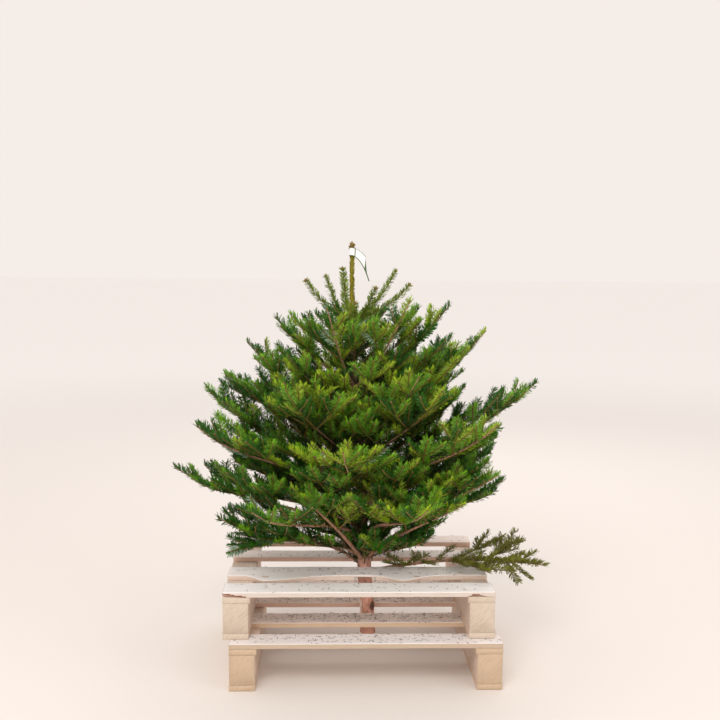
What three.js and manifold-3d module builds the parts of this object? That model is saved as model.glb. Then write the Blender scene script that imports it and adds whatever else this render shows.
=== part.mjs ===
// A cut fir tree standing in a stand of two stacked wooden half pallets.
// Millimetres, +Z up. The tree is drawn from the front left foot of the lower pallet, X along its
// boards and Y away from the front. The whole group is then moved so that its origin is the middle
// of the underside of its box.
import * as THREE from "three";
import { mergeVertices } from "three/addons/utils/BufferGeometryUtils.js";
import Module from "manifold-3d";

const wasm = await Module();
wasm.setup();

// Driving dimensions of the stand
const GAP = 0.3; // clearance between pieces that touch
const PALLET = { length: 800, depth: 600, height: 142.5 };
const DECK = 16; // thickness of the deck boards
const LATH = { thick: 18, wide: 80, foot: 76 }; // laths over and under each runner's beam
const BEAM_WIDE = 75;
const UPPER_SHIFT = { x: -21, y: 32 }; // how far the upper pallet lies off the lower one
const LOWER_BOARDS = [[0, 78], [170, 254], [350, 422], [526, 600]]; // front and back edge of each
const UPPER_BOARDS = [[0, 86], [159, 244], [350, 424], [520, 600]];
// The natural edge of the upper second board: each bulge's place, reach to its left and right.
const WANE = { pull: 49, bulges: [[115, 35, 120], [535, 48, 62]], steps: 20 };
// Bark edge missing under the front of the top front board: start, reach, depth and height.
const BARK_CUTS = [{ x: -1, reach: 74, deep: 11, high: 11 }, { x: 716, reach: 60, deep: 11, high: 7 }];
const NOTCH = { middle: 420.5, wide: 72, narrow: 58, high: 9, deep: 24 };

// Driving dimensions of the trunk and what it carries
const FOOT = 64; // height of the flat cut under the trunk
const TOP_WHORL = 1050; // height where the last year's leader starts
const LEADER_TIP = 1298;
const TRUNK = { x: 357.6, y: 296.6, lean: 0.0592, leaderLean: 0.008, sides: 10 };
const TRUNK_RADII = [[FOOT, 24], [170, 23.5], [286, 20.9], [500, 16], [700, 12.5], [900, 9],
  [TOP_WHORL, 6.5], [1080, 5], [LEADER_TIP, 3.4]]; // height and radius
const SHAVED = { z: 140, half: 44, depth: 4.5, turn: 12 }; // flat shaved on the trunk's left side
const KNOT = { z: 156, out: [25, -7, 2], radii: [7, 6] };
const BUDS = { count: 5, sunk: 4, length: 15, belly: 10, radii: [3, 4.4, 1] };
const SLEEVE = { from: TOP_WHORL + 24, to: LEADER_TIP - 8, inner: 5.8, outer: 7.4, cups: 6, sides: 7 };
const LABEL = { z: 1263, high: 26, radius: 10.5, thick: 0.8, out: 50, drop: 78, slant: 52, sides: 20 };

// Driving dimensions of the foliage
const SHOOT_WIDE = 46; // across the needles of one shoot
const BLADE_THICK = 4.4;
const NECK = 9; // how far behind its node a spray starts to widen
const TWIG_RADIUS = 2.1;
const CLEAR = 0.4; // least gap between two masses
const LIMB_SHORT = 14; // how far before its node a limb hands over to its mass
const BOUGH_TAPER = 0.5; // how much longer a bough's first yearly unit is than its last
const SIDE_TAPER = 0.1;
// The whorls of boughs: height on the trunk, yearly units of growth, units that are bare limb,
// radius at the trunk, slope in degrees at the trunk and at the tip, how far side shoots lift, and
// for each bough its azimuth in degrees, its reach and its rise.
const WHORLS = [
  { name: "tier2", z: 858, units: 3, bare: 0, radius: 3.6, slopes: [30, 55], lift: 0.42,
    boughs: [[172, 250, 210], [244, 205, 250], [310, 238, 275], [8, 298, 255], [92, 240, 235]] },
  { name: "tier3", z: 670, units: 4, bare: 0, radius: 4.2, slopes: [32, 50], lift: 0.42,
    boughs: [[180, 345, 320], [232, 360, 240], [296, 360, 260], [3, 398, 362], [95, 345, 300],
      [147, 508, 188], [38, 405, 324]] },
  { name: "tier4", z: 500, units: 5, bare: 2, radius: 4.6, slopes: [36, 45], lift: 0.42,
    boughs: [[168, 508, 342], [207, 540, 266], [262, 470, 235], [316, 510, 290], [358, 545, 380],
      [84, 480, 310]] },
  { name: "tier5", z: 372, units: 5, bare: 2, radius: 6.4, slopes: [36, 38], lift: 0.42,
    boughs: [[184, 586, 243], [232, 520, 190], [288, 500, 205], [332, 440, 250], [24, 490, 302],
      [120, 540, 270]] },
  { name: "tier6", z: 298, units: 5, bare: 2, radius: 6.8, slopes: [42, 32], lift: 0.42,
    boughs: [[240, 380, 285], [190, 458, 155], [70, 480, 190], [14, 470, 232], [312, 400, 250]] },
  { name: "low_right", z: 262, units: 5, bare: 2, radius: 6, slopes: [14, -8], lift: 0.2,
    boughs: [[357, 573, 30]] },
  { name: "low_left", z: 268, units: 5, bare: 2, radius: 5.4, slopes: [50, -22], lift: -0.04,
    boughs: [[180, 430, 54]] },
];
const TIERS_WITH_LIMBS = ["tier5", "tier6", "low_right", "low_left"];
const TOP_SHOOTS = { z: 1046, slopes: [30, 62], radius: 2.6, collar: [3.2, 2.4], high: 12,
  shoots: [[180, 148, 144], [146, 104, 166], [116, 72, 186], [18, 150, 176], [347, 184, 133],
    [318, 96, 126], [272, 140, 88]] };
const SIDE_YEARS = [99, 2]; // most yearly units of a side shoot, by its order
const SPREAD = [0, 50, 46]; // degrees between a side shoot and its parent
const SIDE_SHARE = [0, 0.72, 0.66]; // its length as a share of what its parent still has to grow
const SHORTEST = 75;

const UP = new THREE.Vector3(0, 0, 1);
const AWAY = new THREE.Vector3(0, 1, 0);
const vec = (x, y, z) => new THREE.Vector3(x, y, z);
const rad = THREE.MathUtils.degToRad;

const MATERIALS = {
  wood: new THREE.MeshStandardMaterial({ color: 0xdcc6a8, roughness: 0.8, metalness: 0 }),
  runner: new THREE.MeshStandardMaterial({ color: 0xd0ad86, roughness: 0.85, metalness: 0 }),
  bark: new THREE.MeshStandardMaterial({ color: 0x8a6a52, roughness: 0.9, metalness: 0 }),
  foliage: new THREE.MeshStandardMaterial({ color: 0x4c7a2c, roughness: 0.7, metalness: 0 }),
  label: new THREE.MeshStandardMaterial({ color: 0xf2f4f0, roughness: 0.5, metalness: 0 }),
};

// A repeatable number from 0 to 1 for each seed.
function chance(seed) {
  const v = Math.sin(seed * 12.9898 + 4.137) * 43758.5453;
  return v - Math.floor(v);
}

// Solids
function faces(points, triangles) {
  const geometry = new THREE.BufferGeometry();
  const flat = points.flatMap((p) => p.toArray());
  geometry.setAttribute("position", new THREE.Float32BufferAttribute(flat, 3));
  geometry.setIndex(triangles.flat());
  return geometry;
}

function solid(geometry) {
  const bare = geometry.clone();
  bare.deleteAttribute("normal");
  bare.deleteAttribute("uv");
  const merged = mergeVertices(bare, 1e-4);
  return new wasm.Manifold(new wasm.Mesh({
    numProp: 3,
    vertProperties: new Float32Array(merged.attributes.position.array),
    triVerts: new Uint32Array(merged.index.array),
  }));
}

function geometryOf(manifold) {
  const mesh = manifold.getMesh();
  const geometry = new THREE.BufferGeometry();
  geometry.setAttribute("position", new THREE.BufferAttribute(new Float32Array(mesh.vertProperties), 3));
  geometry.setIndex(Array.from(mesh.triVerts));
  return geometry;
}

function union(solids) {
  return solids.reduce((sum, s) => sum.add(s));
}

// The largest body of a solid, with any sealed hollow inside it filled.
function mainBody(manifold) {
  const bodies = manifold.decompose().sort((a, b) => b.volume() - a.volume());
  return bodies[0].simplify(0.1);
}

// A closed tapering tube with flat ends, its rings square to the tangents.
function tube(points, tangents, radii, sides, reference = UP) {
  const rings = points.map((p, i) => {
    const side = tangents[i].clone().cross(reference).normalize();
    const top = tangents[i].clone().normalize().cross(side);
    return Array.from({ length: sides }, (_, k) => {
      const turn = (2 * Math.PI * k) / sides;
      return p.clone().addScaledVector(side, radii[i] * Math.cos(turn))
        .addScaledVector(top, radii[i] * Math.sin(turn));
    });
  });
  const last = (rings.length - 1) * sides;
  const triangles = [];
  for (let i = 0; i < rings.length - 1; i++) {
    for (let k = 0; k < sides; k++) {
      const a = i * sides + k;
      const b = i * sides + ((k + 1) % sides);
      triangles.push([a, b, b + sides], [a, b + sides, a + sides]);
    }
  }
  for (let k = 1; k < sides - 1; k++) {
    triangles.push([0, k + 1, k], [last, last + k, last + k + 1]);
  }
  return faces(rings.flat(), triangles);
}

// A straight-sided tube, its rings square to the line from its first point to its last.
function straightTube(points, radii, sides, reference = UP) {
  const along = points.at(-1).clone().sub(points[0]).normalize();
  return tube(points, points.map(() => along), radii, sides, reference);
}

function box(x0, x1, y0, y1, z0, z1) {
  return new THREE.BoxGeometry(x1 - x0, y1 - y0, z1 - z0)
    .translate((x0 + x1) / 2, (y0 + y1) / 2, (z0 + z1) / 2);
}

// A plate cut from an outline drawn in the X-Z plane, reaching backwards from its front face.
function upright(outline, depth, front) {
  const shape = new THREE.Shape(outline.map(([x, z]) => new THREE.Vector2(x, z)));
  return new THREE.ExtrudeGeometry(shape, { depth, bevelEnabled: false })
    .rotateX(Math.PI / 2).translate(0, front + depth, 0);
}

function piece(name, geometry, material) {
  const mesh = new THREE.Mesh(geometry, material);
  mesh.name = name;
  return mesh;
}

// The stand
// A deck board, its front edge pulled forward where the natural edge of the log was left on it.
function deckBoard(front, back, bulges) {
  const shape = new THREE.Shape();
  shape.moveTo(0, back);
  const steps = bulges.length ? WANE.steps : 1;
  for (let i = 0; i <= steps; i++) {
    const x = (PALLET.length * i) / steps;
    const pull = bulges.reduce((sum, [at, left, right]) => (
      sum + WANE.pull * Math.exp(-(((x - at) / (x < at ? left : right)) ** 2))), 0);
    shape.lineTo(x, front - pull);
  }
  shape.lineTo(PALLET.length, back);
  const thick = DECK - GAP;
  return new THREE.ExtrudeGeometry(shape, { depth: thick, bevelEnabled: false })
    .translate(0, 0, PALLET.height - thick);
}

function barkCut({ x, reach, deep, high }) {
  const bottom = PALLET.height - DECK + GAP;
  const shape = new THREE.Shape([
    new THREE.Vector2(-1, -1), new THREE.Vector2(deep, -1), new THREE.Vector2(-1, high)]);
  return new THREE.ExtrudeGeometry(shape, { depth: reach, bevelEnabled: false })
    .rotateX(Math.PI / 2).rotateZ(Math.PI / 2).translate(x, 0, bottom);
}

function notchCut(front) {
  const { middle, wide, narrow, high, deep } = NOTCH;
  const bottom = PALLET.height - DECK;
  const outline = [[middle - narrow / 2, bottom - 1], [middle + narrow / 2, bottom - 1],
    [middle + wide / 2, bottom + high], [middle - wide / 2, bottom + high]];
  return upright(outline, deep + WANE.pull, front - WANE.pull);
}

// A runner: a sawn beam between a foot lath and a wider top lath, seen from its end.
function runner(mirrored) {
  const top = PALLET.height - DECK;
  const outline = [[0, 0], [LATH.foot, 0], [LATH.foot, LATH.thick], [BEAM_WIDE, LATH.thick],
    [BEAM_WIDE, top - LATH.thick], [LATH.wide, top - LATH.thick], [LATH.wide, top], [0, top],
    [0, top - LATH.thick], [1, top - LATH.thick], [1, LATH.thick], [0, LATH.thick]];
  return upright(outline.map(([x, z]) => [mirrored ? PALLET.length - x : x, z]), PALLET.depth, 0);
}

function pallet(name, boards, x, y, z, wild) {
  const group = new THREE.Group();
  group.position.set(x, y, z);
  boards.forEach(([front, back], i) => {
    let body = solid(deckBoard(front, back, wild && i === 1 ? WANE.bulges : []));
    if (wild && i === 0) {
      body = BARK_CUTS.reduce((rest, cut) => rest.subtract(solid(barkCut(cut))), body);
    }
    if (wild && i === 1) {
      body = body.subtract(solid(notchCut(front)));
    }
    group.add(piece(`${name}_board_${i + 1}`, geometryOf(body), MATERIALS.wood));
  });
  group.add(piece(`${name}_runner_left`, runner(false), MATERIALS.runner));
  group.add(piece(`${name}_runner_right`, runner(true), MATERIALS.runner));
  return group;
}

// The trunk
function trunkAt(z) {
  const below = Math.max(0, TOP_WHORL - z);
  const above = Math.max(0, z - TOP_WHORL);
  return vec(TRUNK.x + TRUNK.lean * below - TRUNK.leaderLean * above, TRUNK.y, z);
}

function trunkRadius(z) {
  const i = Math.max(1, TRUNK_RADII.findIndex(([height]) => height >= z));
  const [z0, r0] = TRUNK_RADII[i - 1];
  const [z1, r1] = TRUNK_RADII[i];
  return r0 + ((r1 - r0) * (z - z0)) / (z1 - z0);
}

function trunkSolid(extra) {
  const points = TRUNK_RADII.map(([z]) => trunkAt(z));
  return solid(straightTube(points, TRUNK_RADII.map(([, r]) => r + extra), TRUNK.sides, AWAY));
}

// One bud of the cluster at the leader's tip, leaning out by the given heading.
function bud(heading) {
  const start = trunkAt(LEADER_TIP - BUDS.sunk);
  const points = [0, BUDS.belly, BUDS.length].map((d) => start.clone().addScaledVector(heading, d));
  return solid(straightTube(points, BUDS.radii, 4, AWAY));
}

function trunk() {
  const middle = trunkAt(SHAVED.z);
  const surface = SHAVED.depth - trunkRadius(SHAVED.z);
  const shaving = box(surface - 40, surface, -40, 40, SHAVED.z - SHAVED.half, SHAVED.z + SHAVED.half)
    .rotateZ(rad(SHAVED.turn)).translate(middle.x, middle.y, 0);
  const knotFoot = trunkAt(KNOT.z);
  const knot = straightTube([knotFoot, knotFoot.clone().add(vec(...KNOT.out))], KNOT.radii, 6);
  const buds = Array.from({ length: BUDS.count }, (_, i) => {
    const azimuth = (2 * Math.PI * i) / BUDS.count;
    return bud(vec(Math.cos(azimuth), Math.sin(azimuth), 1.1).normalize());
  });
  return mainBody(union([trunkSolid(0).subtract(solid(shaving)), solid(knot), bud(UP), ...buds]));
}

// The short needles that lie along the leader: a sleeve of stacked cups round it.
function leaderSleeve() {
  const step = (SLEEVE.to - SLEEVE.from) / SLEEVE.cups;
  const outline = [new THREE.Vector2(0, SLEEVE.to)];
  for (let i = SLEEVE.cups - 1; i >= 0; i--) {
    const z = SLEEVE.from + step * i;
    outline.push(new THREE.Vector2(SLEEVE.outer, z + step * 0.9), new THREE.Vector2(SLEEVE.inner, z));
  }
  outline.push(new THREE.Vector2(0, SLEEVE.from));
  const turned = new THREE.LatheGeometry(outline.reverse(), SLEEVE.sides).rotateX(Math.PI / 2);
  turned.translate(0, 0, -TOP_WHORL).rotateY(-Math.atan(TRUNK.leaderLean))
    .translate(TRUNK.x, TRUNK.y, TOP_WHORL);
  return mainBody(solid(turned).subtract(trunkSolid(GAP)));
}

// The label: a strip wound once round the leader, its free end hanging forward and down.
function label() {
  const { z, high, radius, thick, out, drop, slant, sides } = LABEL;
  const centre = trunkAt(z).add(vec(radius - thick - SLEEVE.outer - 2 * GAP, 0, 0));
  const ring = (r, z0, z1) => solid(new THREE.CylinderGeometry(r, r, z1 - z0, sides)
    .rotateX(Math.PI / 2).translate(centre.x, centre.y, z + (z0 + z1) / 2));
  const band = ring(radius, 0, high).subtract(ring(radius - thick, -1, high + 1));
  const edge = (points) => new THREE.QuadraticBezierCurve(
    ...points.map(([x, height]) => new THREE.Vector2(centre.x + x, z + height))).getPoints(8);
  const upper = edge([[-2, high], [out * 0.64, high * 0.77], [out + 6, slant - drop]]);
  const lower = edge([[-2, 0], [out * 0.56, -high * 0.3], [out, -drop]]);
  const outline = [...upper, ...lower.reverse()].map((p) => p.toArray());
  return mainBody(band.add(solid(upright(outline, thick, centre.y - radius))));
}

// The growth rule
// A cubic curve that leaves the trunk at the first slope and reaches its end at the second.
function boughCurve(z, [azimuth, reach, rise], slopes, seed) {
  const out = vec(Math.cos(rad(azimuth)), Math.sin(rad(azimuth)), 0);
  const heading = (slope) => out.clone().multiplyScalar(Math.cos(rad(slope)))
    .addScaledVector(UP, Math.sin(rad(slope)));
  const a = trunkAt(z + 12 * (chance(seed + 0.13) - 0.5));
  const e = a.clone().addScaledVector(out, reach).addScaledVector(UP, rise);
  const length = Math.hypot(reach, rise);
  const b = a.clone().addScaledVector(heading(slopes[0]), length * 0.36);
  const c = e.clone().addScaledVector(heading(slopes[1]), -length * 0.3);
  return new THREE.CubicBezierCurve3(a, b, c, e);
}

// Where each yearly unit ends, as shares of the curve: the units grow shorter towards the tip.
function unitEnds(units, taper) {
  const ends = [0];
  for (let i = 0; i < units; i++) {
    ends.push(ends[i] + 1 + (taper * (units - 1 - i)) / Math.max(1, units - 1));
  }
  return ends.map((end) => end / ends[units]);
}

function chordLength(curve) {
  return curve.v0.distanceTo(curve.v1) + curve.v1.distanceTo(curve.v2) + curve.v2.distanceTo(curve.v3);
}

// The curve of one side shoot: it turns off by its spread, then bends along its parent and up.
function sideCurve(node, tangent, sign, order, rest, id, lift) {
  const across = tangent.clone().cross(UP).normalize();
  const top = across.clone().cross(tangent);
  const turn = rad(SPREAD[order] + 14 * (chance(id) - 0.5));
  const first = tangent.clone().multiplyScalar(Math.cos(turn))
    .addScaledVector(across, sign * Math.sin(turn))
    .addScaledVector(top, 0.3 * (chance(id + 0.37) - 0.1)).normalize();
  const final = first.clone().addScaledVector(tangent, 0.4).addScaledVector(UP, lift).normalize();
  const reach = Math.max(rest * SIDE_SHARE[order], SHORTEST) * (0.85 + 0.3 * chance(id + 0.71));
  return new THREE.CubicBezierCurve3(
    node, node.clone().addScaledVector(first, reach * 0.33),
    node.clone().addScaledVector(first, reach * 0.5).addScaledVector(final, reach * 0.17),
    node.clone().addScaledVector(first, reach * 0.5).addScaledVector(final, reach * 0.5));
}

// Follows one curve unit by unit and sends out a pair of side shoots at each node.
function grow(curve, units, order, seed, taper, rule) {
  const ends = unitEnds(units, taper);
  return Array.from({ length: units }, (_, i) => {
    const shoot = { order, unit: i, tip: i === units - 1, ready: false, curve, u0: ends[i], u1: ends[i + 1] };
    const bare = shoot.tip || order >= 2 || (order === 0 && i < rule.bare - 1);
    const years = Math.min(units - 1 - i, SIDE_YEARS[order + 1] ?? 1);
    shoot.side = bare ? [] : [-1, 1].map((sign, k) => {
      const id = seed * 10 + i * 3 + k + 1;
      const rest = (1 - shoot.u1) * chordLength(curve);
      const side = sideCurve(curve.getPoint(shoot.u1), curve.getTangent(shoot.u1), sign, order + 1,
        rest, id, rule.lift);
      return grow(side, years, order + 1, id, SIDE_TAPER, rule);
    });
    return shoot;
  });
}

// A spray of needles: a stem of diamond section that widens at a node into a toothed blade with a
// finger for each shoot. A ridge over and under the middle of each finger gives the blade its
// thickness. The fingers are given from the right to the left, each as its stretch of the outline.
function spray(curve, start, node, radii, fingers, ridges) {
  const heading = curve.getTangent(node);
  const across = heading.clone().cross(UP).normalize();
  const top = across.clone().cross(heading);
  const from = curve.getPoint(start);
  const neck = curve.getPoint(node).addScaledVector(heading, -NECK);
  const outline = [
    from.clone().addScaledVector(across, radii[0]), neck.clone().addScaledVector(across, radii[1]),
    ...fingers.flatMap((finger, i) => (i ? finger.slice(1) : finger)),
    neck.clone().addScaledVector(across, -radii[1]), from.clone().addScaledVector(across, -radii[0])];
  const middles = [curve.getPoint(node), ...ridges];
  const hubs = (sign) => [from.clone().addScaledVector(top, sign * radii[0]),
    ...middles.map((p) => p.clone().addScaledVector(top, (sign * BLADE_THICK) / 2))];
  const n = outline.length;
  const surface = [[0, 1, n + 1], [0, n + 1, n], [n, n + 1, n - 1], [n + 1, n - 2, n - 1], [1, 2, n + 1],
    [n + 1, n - 3, n - 2]];
  let first = 2;
  fingers.forEach((finger, f) => {
    const last = first + finger.length - 1;
    for (let i = first; i < last; i++) {
      surface.push([i, i + 1, n + 2 + f]);
    }
    surface.push([first, n + 2 + f, n + 1], [n + 2 + f, last, n + 1]);
    first = last;
  });
  const count = 2 + ridges.length;
  const under = surface.map(([i, j, k]) => [j, i, k].map((v) => (v >= n ? v + count : v)));
  const cap = [[0, n, n - 1], [0, n - 1, n + count]];
  return faces([...outline, ...hubs(1), ...hubs(-1)], [...surface, ...under, ...cap]);
}

function along(shoot, share) {
  return shoot.curve.getPoint(shoot.u0 + (shoot.u1 - shoot.u0) * share);
}

// A place on the blade of one shoot: a share of its length, and how far off its middle.
function onBlade(shoot, top, share, off) {
  const across = shoot.curve.getTangent((shoot.u0 + shoot.u1) / 2).cross(top).normalize();
  return along(shoot, share).addScaledVector(across, off * SHOOT_WIDE);
}

const RIDGE_SHARE = 0.66; // where along a shoot its blade is thickest
const TEETH = [[0.34, 0.5], [0.5, 0.28], [0.8, 0.46]]; // share along a shoot, share of its width
const OUTER_TEETH = [[0.3, 0.5], [0.5, 0.28], [0.8, 0.45]];
const INNER_TOOTH = [0.8, 0.43];
const CROTCH_SHARE = 0.45; // where two fingers part

function singleSpray(shoot, nodeShare, radius) {
  const side = (sign) => TEETH.map(([share, off]) => onBlade(shoot, UP, share, sign * off));
  const finger = [...side(1), along(shoot, 1), ...side(-1).reverse()];
  const node = shoot.u0 + (shoot.u1 - shoot.u0) * nodeShare;
  return spray(shoot.curve, shoot.u0, node, [radius, radius], [finger], [along(shoot, RIDGE_SHARE)]);
}

// Three shoots that fork from one node, with the year's growth that carries them.
function forkSpray(stem, centre, [left, right], radii) {
  const heading = stem.curve.getTangent(stem.u1);
  const top = heading.clone().cross(UP).normalize().cross(heading);
  const tooth = (shoot, [share, off], sign) => onBlade(shoot, top, share, sign * off);
  const outer = (shoot, sign) => OUTER_TEETH.map((place) => tooth(shoot, place, sign));
  const crotch = (side) => along(centre, CROTCH_SHARE).add(along(side, CROTCH_SHARE)).multiplyScalar(0.5);
  const fingers = [
    [...outer(right, 1), along(right, 1), tooth(right, INNER_TOOTH, -1), crotch(right)],
    [crotch(right), tooth(centre, INNER_TOOTH, 1), along(centre, 1), tooth(centre, INNER_TOOTH, -1),
      crotch(left)],
    [crotch(left), tooth(left, INNER_TOOTH, 1), along(left, 1), ...outer(left, -1).reverse()],
  ];
  const ridges = [right, centre, left].map((shoot) => along(shoot, RIDGE_SHARE));
  return spray(stem.curve, stem.u0, stem.u1, radii, fingers, ridges);
}

// A twig along part of a curve, its radius changing evenly, its end sunk into what follows.
function twig(curve, u0, u1, radii, sides, steps, sunk) {
  const shares = Array.from({ length: steps + 1 }, (_, i) => i / steps);
  const points = shares.map((share) => curve.getPoint(u0 + (u1 - u0) * share));
  const tangents = shares.map((share) => curve.getTangent(u0 + (u1 - u0) * share));
  points[steps].addScaledVector(tangents[steps], sunk);
  return tube(points, tangents, shares.map((share) => radii[0] + (radii[1] - radii[0]) * share), sides);
}

// Placing: every piece of a mass keeps clear of the limbs, the stand and the other masses.
const placed = [];

function boxOf(manifold) {
  const b = manifold.boundingBox();
  return new THREE.Box3(vec(...b.min), vec(...b.max)).expandByScalar(CLEAR);
}

function keep(body, owner) {
  placed.push({ body, owner, bounds: boxOf(body) });
}

function tryPiece(body, mass, joined) {
  const bounds = boxOf(body);
  const free = placed.every((other) => other.owner === mass.name || other.owner === joined
    || !other.bounds.intersectsBox(bounds) || body.minGap(other.body, CLEAR * 2) >= CLEAR);
  if (free) {
    keep(body, mass.name);
    mass.parts.push(body);
  }
  return free;
}

// A place further along the curve by about this distance.
function further(curve, u, distance) {
  const speed = 3 * (curve.v0.distanceTo(curve.v1) * (1 - u) + curve.v2.distanceTo(curve.v3) * u);
  return u + distance / speed;
}

function radiusAlong(rule, share) {
  return rule.radius + (TWIG_RADIUS - rule.radius) * share;
}

// The stem of a mass starts clear of what carries it: the tip of its limb, or the trunk.
function placeStem(mass) {
  const { rule, shoots, carrier, startShare } = mass;
  shoots.slice(0, -2).filter((shoot) => shoot.u1 > startShare).forEach((shoot) => {
    const u0 = Math.max(shoot.u0, startShare);
    const r1 = radiusAlong(rule, shoot.u1);
    let body = solid(twig(shoot.curve, u0, shoot.u1, [radiusAlong(rule, u0), r1], 4, 1, r1));
    if (shoot.unit === 0) {
      body = mainBody(body.subtract(trunkCore));
    }
    shoot.ready = tryPiece(body, mass, carrier);
  });
}

// The fork of three shoots that ends an axis, or what is left of it where that has no room.
function placeFork(mass, axis, radii) {
  const [node, tip] = axis.slice(-2);
  const sides = node.side.map(([side]) => side);
  if (tryPiece(solid(forkSpray(node, tip, sides, radii)), mass)) {
    return;
  }
  if (tryPiece(solid(twig(node.curve, node.u0, node.u1, radii, 3, 1, radii[1])), mass)) {
    [tip, ...sides].forEach((shoot) => tryPiece(solid(singleSpray(shoot, 0.2, TWIG_RADIUS)), mass));
  }
}

function placeSides(mass) {
  mass.shoots.slice(0, -2).filter((shoot) => shoot.ready).forEach((shoot) => {
    shoot.side.forEach((axis) => placeFork(mass, axis, [TWIG_RADIUS, TWIG_RADIUS]));
  });
}

// The youngest whorl: six single shoots on a collar round the leader's base.
function topWhorl() {
  const { z, slopes, radius, collar, high, shoots } = TOP_SHOOTS;
  const foot = trunkAt(z - 2);
  const ring = straightTube([foot, foot.clone().add(vec(0, 0, high + 6))],
    collar.map((extra) => trunkRadius(z) + extra), 10, AWAY);
  const sprays = shoots.map((shape, i) => {
    const curve = boughCurve(z, shape, slopes, 1 + i);
    return solid(singleSpray({ curve, u0: 0.02, u1: 1 }, 0.22, radius));
  });
  return mainBody(union([solid(ring), ...sprays]).subtract(trunkCore));
}

// A bough of a whorl: the mass it will carry, and its bare limb where it has one.
function bough(rule, shape, seed, number) {
  const curve = boughCurve(rule.z, shape, rule.slopes, seed);
  const mass = { name: `${rule.name}_mass${number}`, rule, carrier: "trunk", startShare: 0, parts: [],
    shoots: grow(curve, rule.units, 0, seed, BOUGH_TAPER, rule) };
  if (TIERS_WITH_LIMBS.includes(rule.name)) {
    const end = further(curve, unitEnds(rule.units, BOUGH_TAPER)[rule.bare], -LIMB_SHORT);
    const radii = [rule.radius, radiusAlong(rule, end)];
    mass.carrier = `${rule.name}_bough${number}`;
    mass.startShare = further(curve, end, GAP);
    mass.limb = mainBody(solid(twig(curve, 0, end, radii, 7, 3, 0)).subtract(trunkCore));
  }
  return mass;
}

// The whole
const parts = new THREE.Group();
parts.add(pallet("lower", LOWER_BOARDS, 0, 0, 0, false));
parts.add(pallet("upper", UPPER_BOARDS, UPPER_SHIFT.x, UPPER_SHIFT.y, PALLET.height + GAP, true));
parts.updateMatrixWorld(true);
parts.traverse((mesh) => {
  if (mesh.isMesh) {
    keep(solid(mesh.geometry.clone().applyMatrix4(mesh.matrixWorld)), "stand");
  }
});

function addBody(name, body, material) {
  parts.add(piece(name, geometryOf(body), material));
  keep(body, name);
}

const trunkCore = trunkSolid(GAP);
addBody("trunk", trunk(), MATERIALS.bark);
addBody("leader_needles", leaderSleeve(), MATERIALS.foliage);
addBody("label", label(), MATERIALS.label);
addBody("top_whorl", topWhorl(), MATERIALS.foliage);

const masses = WHORLS.flatMap((rule, w) => rule.boughs.map((shape, b) => (
  bough(rule, shape, (w + 1) * 10 + b + 1, rule.boughs.length > 1 ? `_${b + 1}` : ""))));
masses.filter((mass) => mass.limb).forEach((mass) => addBody(mass.carrier, mass.limb, MATERIALS.bark));
masses.forEach(placeStem);
masses.filter((mass) => mass.shoots.at(-3).ready).forEach((mass) => {
  placeFork(mass, mass.shoots, [radiusAlong(mass.rule, mass.shoots.at(-2).u0), TWIG_RADIUS]);
});
masses.forEach(placeSides);
masses.forEach((mass) => {
  parts.add(piece(mass.name, geometryOf(mainBody(union(mass.parts))), MATERIALS.foliage));
});

const bounds = new THREE.Box3().setFromObject(parts);
parts.position.set(-(bounds.min.x + bounds.max.x) / 2, -(bounds.min.y + bounds.max.y) / 2, -bounds.min.z);

const object = new THREE.Group();
object.name = "christmas_tree";
object.add(parts);
export default object;
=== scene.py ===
"""A cut fir in a stand of two stacked half pallets: its looks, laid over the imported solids.

The file is laid out as a Blender add-on and is run as a script. Lengths are in millimetres, drawn
from the front left foot of the lower pallet, until a mesh is made, which is in metres.
"""

import math
from collections import namedtuple

import bpy
import numpy as np
from bpy.props import FloatProperty, FloatVectorProperty, IntProperty, PointerProperty
from bpy.types import Operator, Panel, PropertyGroup
from mathutils import Matrix, Vector, noise


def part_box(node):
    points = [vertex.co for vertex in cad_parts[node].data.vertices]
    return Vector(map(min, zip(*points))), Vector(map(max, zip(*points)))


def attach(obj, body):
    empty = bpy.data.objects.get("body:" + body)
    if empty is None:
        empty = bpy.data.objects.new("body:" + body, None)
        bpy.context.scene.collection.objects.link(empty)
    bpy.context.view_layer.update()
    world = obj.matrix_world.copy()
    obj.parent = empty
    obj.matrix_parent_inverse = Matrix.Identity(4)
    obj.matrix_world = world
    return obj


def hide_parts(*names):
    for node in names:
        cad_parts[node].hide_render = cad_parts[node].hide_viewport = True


bl_info = {
    "name": "Fir in a Pallet Stand",
    "version": (1, 0, 0),
    "blender": (4, 5, 0),
    "location": "3D View > Sidebar > Fir",
    "description": "Dresses the solids of a cut fir and of its stand of two half pallets",
    "category": "Object",
}

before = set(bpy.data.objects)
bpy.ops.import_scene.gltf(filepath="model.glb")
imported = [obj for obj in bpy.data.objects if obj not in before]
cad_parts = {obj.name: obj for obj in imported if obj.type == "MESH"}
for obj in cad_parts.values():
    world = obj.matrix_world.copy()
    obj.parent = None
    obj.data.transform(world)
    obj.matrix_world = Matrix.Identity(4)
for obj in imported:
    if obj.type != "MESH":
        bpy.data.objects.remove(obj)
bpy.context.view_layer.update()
ORIGIN = np.array(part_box("lower_runner_left")[0])

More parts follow.
